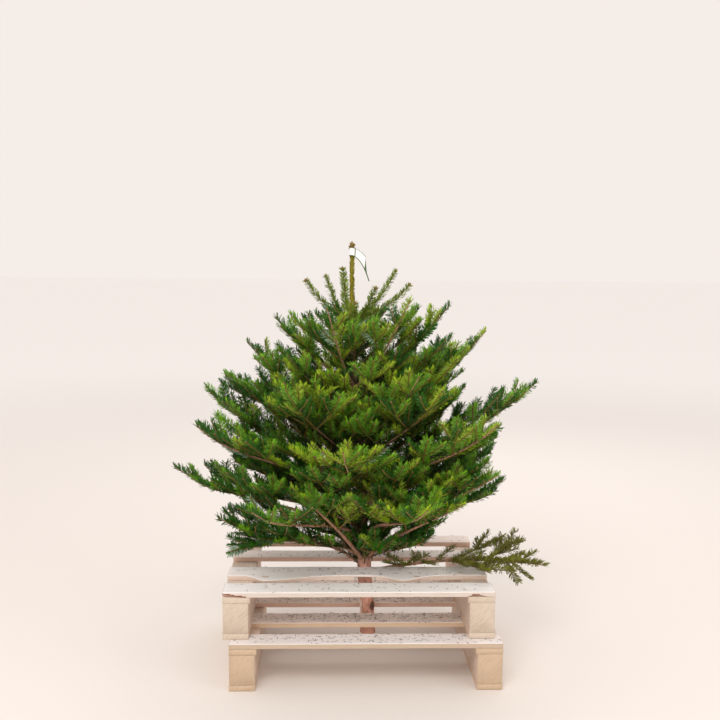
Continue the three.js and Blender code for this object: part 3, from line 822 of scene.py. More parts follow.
def bough_curve(z, shape, slopes, seed):
    """A cubic curve that leaves the trunk at the first slope and reaches its end at the second."""
    azimuth, reach, rise = shape
    out = level_heading(azimuth)
    leaving, arriving = (turned(out, UP, math.radians(slope)) for slope in slopes)
    a = trunk_at(z + 12 * (chance(seed + 0.13) - 0.5))
    e = a + out * reach + UP * rise
    size = math.hypot(reach, rise)
    return np.array((a, a + leaving * size * 0.36, e - arriving * size * 0.3, e))


def year_ends(years, taper):
    """Where each year's growth ends, as shares of the whole. Later years are shorter."""
    ends = [0.0]
    for i in range(years):
        ends.append(ends[-1] + 1 + taper * (years - 1 - i) / max(1, years - 1))
    return [end / ends[-1] for end in ends]


def bent(node, first, final, reach):
    """A curve that sets out along the first heading and ends along the second."""
    return np.array((node, node + first * reach * 0.33,
                     node + first * reach * 0.5 + final * reach * 0.17,
                     node + (first + final) * reach * 0.5))


def side_curve(node, tangent, sign, order, rest, seed, lift):
    """The curve of a side shoot that leaves a node to the left or right."""
    across, top = square_to(tangent)
    turn = math.radians(SPREAD[order] + 14 * (chance(seed) - 0.5))
    first = unit(turned(tangent, across * sign, turn) + top * 0.3 * (chance(seed + 0.37) - 0.1))
    final = unit(first + tangent * 0.4 + UP * lift)
    reach = max(rest * SIDE_SHARE[order], SHORTEST) * (0.85 + 0.3 * chance(seed + 0.71))
    return bent(node, first, final, reach)


class Shoot:
    """One year's growth on an axis: fine where the solids leave it out, bare where it has lost most
    of its needles, and parted where it makes way for the sight of the front left bough."""

    def __init__(self, curve, start, end, order, age, seed, place, fine=False):
        self.curve, self.start, self.end = curve, start, end
        self.order, self.age, self.seed, self.place = order, age, seed, place
        self.fine, self.bare, self.parted = fine, False, False

    def at(self, share):
        return point_on(self.curve, self.start + (self.end - self.start) * share)

    def heading(self, share):
        return heading_on(self.curve, self.start + (self.end - self.start) * share)

    def length(self):
        return span([self.at(k / 4) for k in range(5)])

    def on_main_bough(self):
        """Whether it lies along a bough that the solids have, which has a bark of its own."""
        return self.order == 0 and self.place not in ("top", "inner")


class Crown:
    """Every shoot of the tree, and the curve, seed and whorl of each bough that the solids have."""

    def __init__(self):
        self.shoots, self.boughs = [], []

    def grow(self, curve, years, seed, place, bare=0, lift=LIFT, order=0):
        """Follows one curve year by year, sends out the side shoots of the solids at each node, and
        the finer ones that the solids leave out: one on top of a node, and short ones between."""
        ends = year_ends(years, SIDE_TAPER if order else BOUGH_TAPER)
        length = span(curve)
        for i in range(years):
            age = years - 1 - i
            shoot = Shoot(curve, ends[i], ends[i + 1], order, age, seed * 10 + i, place)
            shoot.bare = order == 0 and i < bare
            self.shoots.append(shoot)
            if order < 2 and age > 0 and not shoot.bare:
                self.between_nodes(shoot, lift)
            if age == 0 or order >= 2 or (order == 0 and i < bare - 1):
                continue
            node, tangent = shoot.at(1), shoot.heading(1)
            rest = (1 - ends[i + 1]) * length
            number = seed * 10 + i * 3 + 1
            for sign in (-1, 1):
                side = side_curve(node, tangent, sign, order + 1, rest, number, lift)
                self.grow(side, min(age, SIDE_YEARS[order + 1]), number, place, 0, lift, order + 1)
                number += 1
            if chance(number + 0.37) < 0.62:
                across, top = square_to(tangent)
                first = unit(tangent * 0.73 + top * 0.68 + across * 0.5 * (chance(number) - 0.5))
                self.small_shoot(node, first, unit(first + tangent * 0.4 + UP * lift),
                                 min(max(rest * 0.5, 70), 115), order + 1, number, place)

    def small_shoot(self, node, first, final, reach, order, seed, place):
        curve = bent(node, first, final, reach)
        self.shoots.append(Shoot(curve, 0, 1, order, 0, seed * 10, place, fine=True))

    def between_nodes(self, parent, lift):
        """Short shoots part of the way along a year's growth."""
        for k, sign in enumerate((-1, 1)):
            number = parent.seed * 7 + k + 0.5
            if chance(number) > 0.5:
                continue
            share = 0.42 + 0.3 * chance(number + 0.2)
            tangent = parent.heading(share)
            across, _ = square_to(tangent)
            first = unit(tangent * 0.62 + across * sign * 0.74 + UP * 0.25 * chance(number + 0.4))
            self.small_shoot(parent.at(share), first, unit(first + tangent * 0.4 + UP * lift),
                             46 + 26 * chance(number + 0.6), min(parent.order + 1, 2), number,
                             parent.place)

    def clump(self):
        """The short sprays that lie on the deck under the low right branch."""
        stem = next(curve for curve, seed, _ in self.boughs if seed == LOW_RIGHT)
        for i, (share, azimuth, rise, reach) in enumerate(CLUMP):
            first = unit(level_heading(azimuth) + UP * math.tan(math.radians(rise)))
            final = unit(first + (0.3, 0, 0.1))
            self.small_shoot(point_on(stem, share), first, final, reach, 1, FIRST_CLUMP + i,
                             "low_right")

    def part_before_front_bough(self):
        """Keeps the front left bough's bare length in sight: shoots that would stand before it are
        left out, and it carries no needles there."""
        front = next(curve for curve, seed, _ in self.boughs if seed == FRONT_BOUGH)
        spots = [point_on(front, u) for u in np.linspace(0.06, 0.66, 14)]
        sights = [(spot, unit(spot - EYE)) for spot in spots]

        def hides(at):
            for spot, sight in sights:
                before = np.dot(spot - at, sight)
                if before > 6 and np.linalg.norm(at - spot + sight * before) < 21:
                    return True
            return False

        for shoot in self.shoots:
            if shoot.order == 0 and shoot.place != "inner":
                shoot.parted = 0 <= shoot.seed - FRONT_BOUGH * 10 <= 2
            else:
                shoot.parted = any(hides(shoot.at(share)) for share in (0.35, 0.7, 1.0))


def whole_crown():
    """Every bough from the trunk, whorl by whorl and then the small ones, with all its shoots."""
    crown = Crown()
    for w, (place, whorl) in enumerate(WHORLS.items()):
        for b, shape in enumerate(whorl.boughs):
            seed = (w + 1) * 10 + b + 1
            curve = bough_curve(whorl.height, shape, whorl.slopes, seed)
            crown.boughs.append((curve, seed, place))
            crown.grow(curve, whorl.years, seed, place, whorl.bare, whorl.lift)
    for i, shape in enumerate(TOP_SHOOTS.boughs):
        curve = bough_curve(TOP_SHOOTS.height, shape, TOP_SHOOTS.slopes, 1 + i)
        crown.grow(curve, TOP_SHOOTS.years, 1 + i, "top")
        crown.shoots[-1].end = 0.95
    for w, (height, years, reach, rise, count) in enumerate(INNER_BOUGHS):
        for b in range(count):
            seed = FIRST_INNER + w * 10 + b
            shape = (360 * (b + chance(seed) * 0.6) / count + 37 * w,
                     reach * (0.8 + 0.4 * chance(seed + 0.2)), rise)
            start = height + 60 * (chance(seed + 0.5) - 0.5)
            crown.grow(bough_curve(start, shape, SMALL_SLOPES, seed), years, seed, "inner")
    for k, (height, years, *shape) in enumerate(SIDE_BOUGHS):
        seed = FIRST_SIDE + k
        crown.grow(bough_curve(height, shape, SMALL_SLOPES, seed), years, seed, "inner")
    crown.clump()
    crown.part_before_front_bough()
    return crown


CROWN = whole_crown()


# Bark
def tube_points(path, radii, sides, relief, salt):
    """Rings of points round a path, pushed in and out by the bark's relief."""
    points = []
    side = None
    for (p, t), radius in zip(path, radii):
        if side is None:
            side = unit(np.cross(t, (0.0, 1.0, 0.0) if abs(t[2]) > 0.9 else UP))
        side = unit(side - t * np.dot(side, t))
        other = np.cross(t, side)
        for k in range(sides):
            out = turned(side, other, 2 * math.pi * k / sides)
            at = p + out * radius
            wave = noise.noise(Vector(at / 9) + Vector((salt, 0, 0))) * 0.6
            wave += noise.noise(Vector(at * (0.3, 0.3, 0.12)) + Vector((0, salt, 0))) * 0.4
            points.append(p + out * (radius + wave * relief))
    return points


def bark(name, low, high, fine=150, depth=0.0012):
    """Smooth young bark with low blisters, paler across its swellings."""
    look = Finish(name)
    across = look.noise(fine, 3, look.mapped((1, 1, 0.35)))
    blotch = look.noise(26, 2)
    scales = look.add("ShaderNodeTexVoronoi", None, {"Vector": look.place, "Scale": 230.0},
                      "Distance")
    colour = look.mix(look.ramp(across, 0.35, 0.68), low, high)
    colour = look.mix(look.ramp(blotch, 0.5, 0.72, 0, 0.45), colour, linear(118, 112, 84))
    colour = look.mix(look.ramp(scales, 0.28, 0.1, 0, 0.35), colour, linear(196, 160, 128))
    return look.surface(colour, look.ramp(across, 0.3, 0.7, 0.6, 0.85), across + scales * 0.5,
                        depth, Specular_IOR_Level=0.3)


def trunk_bark():
    """The trunk's bark: warm and scaly below the crown, greyer within it, green on the leader."""
    trunk = settings("fir_trunk")
    look = Finish("trunk_bark")
    height = look.part("Z")
    across = look.noise(120, 3, look.mapped((1, 1, 0.4)))
    plates = look.add("ShaderNodeTexVoronoi", None,
                      {"Vector": look.mapped((1, 1, 0.5)), "Scale": 170.0}, "Distance")
    colour = look.mix(look.ramp(height, 0.27, 0.36), trunk.foot_bark, trunk.crown_bark)
    colour = look.mix(look.ramp(height, 1.0, 1.08), colour, trunk.leader_bark)
    colour = look.mix(look.ramp(across, 0.4, 0.75, 0, 0.6), colour, linear(112, 82, 62))
    colour = look.mix(look.ramp(look.noise(34, 2), 0.5, 0.7, 0, 0.45), colour,
                      linear(204, 150, 112))
    # A dark patch beside the knot: painted shade under the branch stub, over the knot's darker
    # bark.
    knot = trunk_at(KNOT["z"]) + np.array((KNOT["reach"] * 1.5, -15, 0))
    away = look.away(knot, (80, 80, 52))
    colour = look.mix(look.ramp(away, 0.5, 1.15, 0.85, 0), colour, linear(52, 34, 28))
    return look.surface(colour, 0.75, across + plates, 0.0016, Specular_IOR_Level=0.3)


class FIR_OT_trunk(Operator):
    """Raise the trunk from its cut foot to the buds at the leader's tip."""

    bl_idname = "fir.trunk"
    bl_label = "Trunk"
    sides = 44

    def execute(self, context):
        trunk = context.scene.fir_trunk
        heights = [FOOT, FOOT + 0.6, *np.arange(FOOT + 5, LEADER_TIP - 4, 5.0), LEADER_TIP - 1,
                   LEADER_TIP]
        radii = [trunk_radius(z) + self.collar(z) for z in heights]
        radii[0] -= 1.0
        radii[-1] *= 0.5
        path = [(trunk_at(z), UP) for z in heights]
        points, shaved = [], []
        for p in tube_points(path, radii, self.sides, trunk.relief * 1000, 3.0):
            p, cut = self.shave(p)
            points.append(self.knotted(p))
            shaved.append(cut)
        polygons = tube_polygons(len(heights), self.sides)
        kinds = [int(all(shaved[v] for v in polygon)) for polygon in polygons]
        kinds[-2] = 1
        mesh = mesh_of("trunk_bark", points, polygons, smooth=True)
        mesh.polygons.foreach_set("material_index", kinds)
        mesh.materials.append(trunk_bark())
        mesh.materials.append(wood("trunk_cut", 2, trunk_at(FOOT), trunk.cut_wood, end=True,
                                   soil=0.2))
        dress(shown("trunk_bark", mesh), "bark", "trunk")
        return {"FINISHED"}

    @staticmethod
    def collar(z):
        """The swelling where a whorl of boughs leaves the trunk."""
        places = [whorl.height for whorl in WHORLS.values()] + [TOP_SHOOTS.height]
        return sum(2.2 * math.exp(-(((z - place) / 11) ** 2)) for place in places)

    @staticmethod
    def shave(p):
        """Where a point ends up when the trunk's side is cut flat, and whether it is on the cut."""
        out = -level_heading(SHAVED["turn"])
        reach = np.dot(p - trunk_at(SHAVED["z"]), out)
        limit = trunk_radius(SHAVED["z"]) - SHAVED["depth"]
        limit += max(0, abs(p[2] - SHAVED["z"]) - SHAVED["half"] + 14) ** 2 * 0.06
        if reach <= limit:
            return p, False
        return p - out * (reach - limit), True

    @staticmethod
    def knotted(p):
        """Where a point ends up beside the knot, which is a low swelling with a hollow in it."""
        out = level_heading(KNOT["turn"])
        at = trunk_at(KNOT["z"]) + out * trunk_radius(KNOT["z"])
        away = np.linalg.norm(p - at)
        swell = 4.0 * math.exp(-((away / 11) ** 2)) - 3.2 * math.exp(-((away / 4.5) ** 2))
        return p + out * swell


class FIR_OT_boughs(Operator):
    """Grow the boughs, tapering from the trunk to their tips."""

    bl_idname = "fir.boughs"
    bl_label = "Boughs"
    sides = 11

    def execute(self, context):
        trunk = context.scene.fir_trunk
        relief = trunk.relief * 1000 * 0.7
        points, polygons = [], []
        for curve, seed, place in CROWN.boughs:
            size = span(curve)
            shares = np.linspace(0.005, 1, max(8, int(size / 6)))
            path = [(point_on(curve, u), heading_on(curve, u)) for u in shares]
            radii = [self.radius(u, size, WHORLS[place]) for u in shares]
            polygons += tube_polygons(len(shares), self.sides, len(points))
            points += tube_points(path, radii, self.sides, relief, seed * 1.7)
        mesh = mesh_of("bough_bark", points, polygons, smooth=True)
        mesh.materials.append(bark("bough_bark", trunk.bough_bark, linear(146, 104, 82)))
        nodes = [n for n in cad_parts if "_bough" in n]
        dress(shown("bough_bark", mesh), "bark", *nodes)
        return {"FINISHED"}

    @staticmethod
    def radius(u, size, whorl):
        """Half a bough's thickness: it swells at the trunk and at each year's node."""
        nodes = year_ends(whorl.years, BOUGH_TAPER)[1:-1]
        taper = whorl.radius + (TWIG_RADIUS * 0.75 - whorl.radius) * u
        return (taper + 1.8 * math.exp(-((u * size / 16) ** 2))
                + sum(0.9 * math.exp(-(((u - node) * size / 7) ** 2)) for node in nodes))


# Shoots, needles and buds
def line_mesh(name, shoots, steps, facts):
    """Lines along the shoots. facts gives what a point carries, from its shoot and share."""
    points, edges, rows = [], [], []
    for shoot in shoots:
        edges += [(len(points) + k, len(points) + k + 1) for k in range(steps)]
        points += [shoot.at(k / steps) for k in range(steps + 1)]
        rows += [facts(shoot, k / steps) for k in range(steps + 1)]
    return with_facts(mesh_of(name, points, [], edges=edges), rows)


def twig_tree():
    """Tubes along lines, as thick as each point says."""
    net = Growth("twigs_along_lines", {"Sides": 6, "Bark": "NodeSocketMaterial"})
    thick = net.attribute("thick")
    lines = net.add("GeometryNodeSetCurveRadius", None, {"Curve": net.lines(), "Radius": thick})
    ring = net.add("GeometryNodeCurvePrimitiveCircle", {"mode": "RADIUS"},
                   {"Resolution": net.given("Sides"), "Radius": 1.0})
    tubes = net.add("GeometryNodeCurveToMesh", None,
                    {"Curve": lines, "Profile Curve": ring, "Fill Caps": True, "Scale": thick})
    return net.finish(tubes, "Bark")


def needle_template():
    """One needle a metre long and wide: four faces, its two long corners set apart, so that its
    sides run side by side for most of its length."""
    mesh = bpy.data.meshes.new("needle_template")
    points = [(0, 0, 0.25), (0.3, 0.72, -0.1), (1, 0, 0.25), (0.8, -0.72, -0.1)]
    faces = [(0, 2, 1), (0, 3, 2), (0, 1, 3), (1, 2, 3)]
    mesh.from_pydata(points, [], faces)
    under = mesh.attributes.new("under", "BOOLEAN", "FACE")
    under.data.foreach_set("value", [False, False, True, True])
    return shown("needle_template", mesh)


def bud_template():
    """One pointed bud a metre long."""
    rings = ((0.0, 0.2), (0.4, 0.36), (0.75, 0.22))
    sides = 4
    angles = [2 * math.pi * k / sides for k in range(sides)]
    points = [(x, r * math.cos(angle), r * math.sin(angle)) for x, r in rings for angle in angles]
    tip = len(points)
    points.append((1, 0, 0))
    faces = tube_polygons(len(rings), sides)[:-1]
    faces += [(tip - sides + k, tip - sides + (k + 1) % sides, tip) for k in range(sides)]
    mesh = bpy.data.meshes.new("bud_template")
    mesh.from_pydata(points, [], faces)
    return shown("bud_template", mesh)


def needle_tree():
    """Needles along lines. Each point carries the shoot's upper side, how long and how open its
    needles are, and how far round the shoot from its upper side they stand."""
    net = Growth("needles_along_lines", {
        "Spacing": 0.0006, "Length": 0.025, "Width": 0.0027, "Seed": 1,
        "Needle": "NodeSocketObject", "Upper Finish": "NodeSocketMaterial",
        "Under Finish": "NodeSocketMaterial"})
    points = net.add("GeometryNodeCurveToPoints", {"mode": "LENGTH"},
                     {"Curve": net.lines(), "Length": net.given("Spacing")})
    tangent = Value(net, points.socket.node.outputs["Tangent"])
    top = net.attribute("top", "FLOAT_VECTOR")
    side = net.vector("NORMALIZE", net.vector("CROSS_PRODUCT", tangent, top))
    top = net.vector("CROSS_PRODUCT", side, tangent)
    number = net.add("GeometryNodeInputIndex")
    sign = (number.math("MODULO", 2.0) * 2.0) - 1.0
    low, high = net.attribute("low"), net.attribute("high")
    turn = sign * (low + (high - low) * net.random(0.0, 1.0, 1))
    share = net.attribute("share")
    closing = 1.0 - share.math("POWER", 6.0) * 0.32
    opening = net.attribute("open") * closing * net.random(0.82, 1.18, 2)

    def scaled(vector, factor):
        return net.add("ShaderNodeVectorMath", {"operation": "SCALE"},
                       {0: vector, "Scale": factor})

    def joined(first, first_share, second, second_share):
        return net.vector("ADD", scaled(first, first_share), scaled(second, second_share))

    sine, cosine = opening.math("SINE"), opening.math("COSINE")
    radial = joined(top, turn.math("COSINE"), side, turn.math("SINE"))
    needle = joined(tangent, cosine, radial, sine)
    inner = joined(tangent, sine, radial, 0.0 - cosine)
    upright = turn.math("COSINE").math("ABSOLUTE")
    face = joined(top, 1.0 - upright * 0.8, inner, upright)
    shorter = (1.0 - share).math("POWER", 4.0) * 0.4 + share.math("POWER", 9.0) * 0.16
    length = net.given("Length") * net.attribute("size") * (1.0 - shorter)
    length = length * net.random(0.84, 1.1, 3)
    width = net.given("Width") * net.random(0.85, 1.15, 4)
    points = net.add("GeometryNodeSetPosition", None,
                     {"Geometry": points,
                      "Offset": scaled(radial, net.attribute("thick") * 0.55)})
    made = net.copies(points, "Needle", net.facing(needle, face), length, width)
    return net.finish(made, "Upper Finish", under="Under Finish")


def bud_tree():
    """A bud on each point, pointing along its own heading."""
    net = Growth("buds_on_points", {"Length": 0.0075, "Seed": 1, "Bud": "NodeSocketObject",
                                    "Finish": "NodeSocketMaterial"})
    rotation = net.facing(net.attribute("heading", "FLOAT_VECTOR"), (0.1, 0.2, 1.0))
    size = net.given("Length") * net.attribute("size") * net.random(0.85, 1.15, 1)
    return net.finish(net.copies(net.given("Geometry"), "Bud", rotation, size, size), "Finish")


def litter_tree():
    """Needles that lie anyhow on faces, as close as each point says."""
    net = Growth("needles_on_boards", {
        "Length": 0.015, "Width": 0.0017, "Seed": 1, "Needle": "NodeSocketObject",
        "Finish": "NodeSocketMaterial"})
    points = net.add("GeometryNodeDistributePointsOnFaces", {"distribute_method": "RANDOM"},
                     {"Mesh": net.given("Geometry"), "Density": net.attribute("litter"),
                      "Seed": net.given("Seed")})
    lying = net.add("ShaderNodeCombineXYZ", None,
                    {0: net.random(-0.12, 0.12, 2), 1: net.random(-0.04, 0.0, 3),
                     2: net.random(0.0, 6.283, 1)})
    rotation = net.add("FunctionNodeEulerToRotation", None, {0: lying})
    length = net.given("Length") * net.random(0.35, 1.3, 4)
    return net.finish(net.copies(points, "Needle", rotation, length, net.given("Width")), "Finish")


def upper_side(shoot, share):
    """The direction that the upper side of a shoot faces, rolled a little either way, or almost
    turned over where its silver undersides show."""
    across, top = square_to(shoot.heading(share))
    roll = math.radians(46 * (chance(shoot.seed + 0.9) - 0.5))
    if group_of(shoot) == "silver":
        roll += math.radians(150)
    return turned(top, across, roll)


def twig_facts(shoot, share):
    """How thick a shoot is at one place: a year adds to it, and it tapers to its tip."""
    young = 1.35 if shoot.fine else 1.55
    return {"thick": (young + 0.45 * shoot.age + 0.25 * (1 - share)) / 1000}


def needle_facts(shoot, share):
    """What the needles at one place of a shoot are like."""
    facts = {"top": upper_side(shoot, share), "share": share, **twig_facts(shoot, share),
             "size": 0.9 + 0.2 * chance(shoot.seed + 0.3),
             "open": math.radians(56 + 8 * chance(shoot.seed)),
             "low": math.radians(26), "high": math.radians(104)}
    if shoot.place == "top":
        facts.update(size=0.98 - 0.34 * share, open=math.radians(46 + 34 * share**4), low=0.0,
                     high=math.radians(160))
    elif shoot.fine:
        facts["size"] *= 0.86
    return facts


def group_of(shoot):
    """Which finish the needles of a shoot have. It is dealt out by chance, and the more light the
    shoot's tip gets, the more often it is a bright one: high, far out, in front and near the
    middle."""
    if shoot.place in ("low_right", "top"):
        return "olive" if shoot.place == "low_right" else "crest"
    if shoot.bare or shoot.age >= 2 or (shoot.place == "inner" and shoot.age):
        return "shade"
    draw = chance(shoot.seed * 1.31 + 0.77)
    if draw > 0.978:
        return "silver"
    x, y, z = shoot.at(1)
    aside, back = x - TRUNK_X, y - TRUNK_Y
    lit = 0.52 + (0.16 * aside - 0.6 * abs(aside) - 0.3 * back) / 500 + 0.3 * (z - 650) / 600
    lit -= 0.5 * max(0, 0.5 - math.hypot(aside, back) / 400)
    lit -= 0.4 * min(1, max(0, (550 - z) / 250))
    if shoot.place == "inner":
        lit -= 0.2
    sunlit = lit * 0.62
    if draw < sunlit:
        return "sunlit"
    if draw < sunlit + 0.34:
        return "fresh"
    return "deep" if shoot.age < 1 or draw < 0.8 else "shade"


def needle_finish(name, colour, share=0.0, other=(0, 0, 0), rough=0.42):
    """Waxy needles: one colour, part of it the other, that darkens from place to place."""
    look = Finish(name)
    base = tuple(c * (1 - share) + o * share for c, o in zip(colour, other))
    darker = tuple(c * 0.5 for c in base)
    wave = look.noise(45, 2) * 0.4 + look.noise(290, 1) * 0.6
    return look.surface(look.mix(look.ramp(wave, 0.36, 0.58), darker, base), rough,
                        Specular_IOR_Level=0.2)


def split(shoots, spacing, faces):
    """Groups of shoots whose needles stay within one piece's number of faces."""
    groups, total = [[]], 0
    for shoot in shoots:
        count = shoot.length() / spacing * faces
        if total + count > MOST_FACES:
            groups.append([])
            total = 0
        groups[-1].append(shoot)
        total += count
    return groups


class FIR_OT_twigs(Operator):
    """Grow the yearly shoots that carry the needles."""

    bl_idname = "fir.twigs"
    bl_label = "Twigs"

    def execute(self, context):
        trunk = context.scene.fir_trunk
        tree = twig_tree()
        twigs = [s for s in CROWN.shoots if not s.on_main_bough()]
        young = [s for s in twigs if s.age <= 1 and not (s.parted and s.age == 0)]
        old = [s for s in twigs if s.age > 1]
        for name, shoots, low, high in (
                ("young_twigs", young, trunk.twig_bark, linear(100, 78, 34)),
                ("older_twigs", old, trunk.bough_bark, linear(116, 82, 58))):
            piece = grown(name, tree, line_mesh(name, shoots, 4, twig_facts),
                          {"Sides": 6, "Bark": bark(name, low, high, 220, 0.0006)})
            piece.data.polygons.foreach_set("use_smooth", [True] * len(piece.data.polygons))
            dress(piece, "bark")
        return {"FINISHED"}


class FIR_OT_needles(Operator):
    """Set the needles along every shoot, in pieces by their colour."""

    bl_idname = "fir.needles"
    bl_label = "Needles"

    def execute(self, context):
        needles = context.scene.fir_needles
        tree, template = needle_tree(), needle_template()
        nodes = sorted(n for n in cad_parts
                       if "_mass" in n or n in ("top_whorl", "leader_needles"))
        pale = linear(158, 186, 154)
        kinds = {}
        for shoot in filter(self.carries_needles, CROWN.shoots):
            kinds.setdefault(group_of(shoot), []).append(shoot)
        for kind, shoots in sorted(kinds.items()):
            apart, paleness = NEEDLE_KINDS[kind]
            colour = needles.deep if kind == "silver" else getattr(needles, kind)
            upper = needle_finish(f"{kind}_needles", colour)
            under = needle_finish(f"{kind}_undersides", colour, paleness, pale, 0.5)
            spacing = needles.spacing * apart
            for i, group in enumerate(split(shoots, spacing * 1000, 4)):
                name = f"{kind}_needles_{i + 1}"
                piece = grown(name, tree, line_mesh(name, group, 5, needle_facts), {
                    "Spacing": spacing, "Length": needles.length, "Width": needles.width,
                    "Seed": needles.seed + i, "Needle": template, "Upper Finish": upper,
                    "Under Finish": under})
                dress(piece, "foliage", *nodes)
        self.leader(needles, tree, template)
        bpy.data.objects.remove(template)
        return {"FINISHED"}

    @staticmethod
    def carries_needles(shoot):
        """The low boughs keep more of their old needles than the others."""
        if shoot.bare:
            lost = 0.25 if shoot.place in ("low_left", "low_right") else 0.8
            return not shoot.parted and chance(shoot.seed + 0.6) >= lost
        return not shoot.parted

    @staticmethod
    def leader(needles, tree, template):
        """The short needles that lie along the leader."""
        heights = np.linspace(TOP_WHORL + 10, LEADER_TIP - 2, 12)
        points = [trunk_at(z) for z in heights]
        rows = [{"top": np.array((0.0, -1.0, 0.0)), "share": 0.5,
                 "thick": trunk_radius(z) * 1.75 / 1000, "size": 0.42, "open": math.radians(24),
                 "low": 0.0, "high": math.pi} for z in heights]
        edges = [(k, k + 1) for k in range(len(heights) - 1)]
        lines = with_facts(mesh_of("leader_lines", points, [], edges=edges), rows)
        finish = needle_finish("leader_needles", needles.leader)
        piece = grown("leader_needles_short", tree, lines, {
            "Spacing": 0.0005, "Length": needles.length, "Width": needles.width,
            "Seed": needles.seed, "Needle": template, "Upper Finish": finish,
            "Under Finish": finish})
        dress(piece, "foliage", "leader_needles")


class FIR_OT_buds(Operator):
    """Put a cluster of buds on the end of every young shoot and of the leader."""

    bl_idname = "fir.buds"
    bl_label = "Buds"

    def execute(self, context):
        needles = context.scene.fir_needles
        template = bud_template()
        points, rows = [], []
        for shoot in CROWN.shoots:
            if shoot.age == 0 and not shoot.parted:
                size = 1.7 if shoot.place == "top" else 0.8 if shoot.fine else 1.0
                self.cluster(points, rows, shoot.at(1), shoot.heading(1), shoot.seed, size)
        for k in range(5):
            at = trunk_at(LEADER_TIP + 1 - 4 * k)
            self.cluster(points, rows, at, UP, 5 + 3 * k, 2.0 + 0.3 * min(k, 2))
        finish = plain_finish("bud_scales", needles.bud_scale, linear(118, 92, 54), 240, 0.55)
        buds = grown("bud_clusters", bud_tree(),
                     with_facts(mesh_of("bud_points", points, []), rows),
                     {"Length": needles.bud, "Seed": needles.seed, "Bud": template,
                      "Finish": finish})
        dress(buds, "bark")
        bpy.data.objects.remove(template)
        return {"FINISHED"}

    @staticmethod
    def cluster(points, rows, at, heading, seed, size):
        """One bud straight on and two or three leaning out round it."""
        across = unit(np.cross(heading, (0.3, 0.9, 0.1)))
        other = np.cross(heading, across)
        points.append(at - heading * 1.5)
        rows.append({"heading": heading, "size": size})
        leaning = 3 if size > 0.9 else 2
        spread = 1.6 if size >= 2 else 0.85
        for k in range(leaning):
            out = turned(across, other, 2 * math.pi * (k / leaning + chance(seed)))
            points.append(at - heading * 3)
            rows.append({"heading": unit(heading + out * spread), "size": size * 0.85})


class FIR_OT_label(Operator):
    """Wind the plain strip round the leader, its free end hanging to the right."""

    bl_idname = "fir.label"
    bl_label = "Strip"
    turns, tail, across = 40, 26, 9

    def execute(self, context):
        label = context.scene.fir_label
        centre = trunk_at(LABEL["z"])
        centre = centre + (LABEL["radius"] - LABEL_BAND - LABEL_HUB - 2 * GAP, 0, 0)
        points, marks = [], []
        columns = [self.band(i / (self.turns - 1)) for i in range(self.turns)]
        columns += [self.tail_end(i / self.tail) for i in range(1, self.tail + 1)]
        for lower, upper, share in columns:
            for w in np.arange(self.across + 1) / self.across:
                points.append(centre + lower * (1 - w) + upper * w)
                marks.append((share, w))
        n = self.across + 1
        polygons = [(j * n + k, (j + 1) * n + k, (j + 1) * n + k + 1, j * n + k + 1)
                    for j in range(len(columns) - 1) for k in range(self.across)]
        mesh = mesh_of("label_strip", points, polygons, smooth=True)
        layer = mesh.uv_layers.new(name="strip")
        for loop in mesh.loops:
            layer.data[loop.index].uv = marks[loop.vertex_index]
        mesh.materials.append(self.finish(label))
        strip = shown("label_strip", mesh)
        solid = strip.modifiers.new("thickness", "SOLIDIFY")
        solid.thickness = 0.0005
        solid.offset = 0
        dress(strip, "label", "label")
        return {"FINISHED"}

    @staticmethod
    def band(t):
        """Once round the leader, from behind it to its front."""
        lower = level_heading(-95 - 350 * (1 - t)) * (LABEL["radius"] - 0.9 * (1 - t))
        return lower, lower + UP * LABEL["high"], t * 0.5

    @staticmethod
    def tail_end(t):
        """The free end: its two edges bend down to the slanted cut, seen from the front."""
        high, out, drop, slant = (LABEL[key] for key in ("high", "out", "drop", "slant"))
        cut, cut_length, tip = 0.7, 0.12, 2.4

        def bend(a, b, c, at):
            return [a[i] * (1 - at) ** 2 + b[i] * 2 * at * (1 - at) + c[i] * at * at
                    for i in (0, 1)]

        def upper_edge(at):
            return bend((-1, high), (out * 0.64, high * 0.77), (out + 6, slant - drop), at)

        upper = upper_edge(t)
        lower = bend((-1, 0), (out * 0.56, -high * 0.3), (out, -drop), t)
        if t > cut:
            hang = min(1, (t - cut) / cut_length)
            upper = [a * (1 - hang) + (b + tip) * hang for a, b in zip(upper_edge(cut), lower)]
        away = -LABEL["radius"] - 5 * math.sin(math.pi * t * 0.8)
        curl = 6 * t * math.sin(3 * t)
        return (np.array((lower[0], away, lower[1])), np.array((upper[0], away + curl, upper[1])),
                0.5 + 0.5 * t)

    @staticmethod
    def finish(label):
        look = Finish("strip_paper")
        strip = look.add("ShaderNodeUVMap", {"uv_map": "strip"})
        across = look.add("ShaderNodeSeparateXYZ", None, {0: strip}, "Y")
        along = look.add("ShaderNodeSeparateXYZ", None, {0: strip}, "X")
        width = label.border / (LABEL["high"] / 1000)
        mark = look.ramp(across, 1 - width * 0.7, 1 - width * 0.4)
        mark = mark.math("MAXIMUM", look.ramp(across, width, width * 1.4, 1, 0))
        mark = mark.math("MAXIMUM", look.ramp(along, 0.84, 0.86))
        fold = look.ramp((along - 0.57).math("ABSOLUTE"), 0.010, 0.016, 1, 0)
        crease = look.noise(70, 2)
        colour = look.mix(look.ramp(crease, 0.4, 0.7, 0, 0.3), label.paper, linear(206, 214, 214))
        colour = look.mix(mark.math("MAXIMUM", fold), colour, label.edge)
        return look.surface(colour, 0.5, crease, 0.0008)


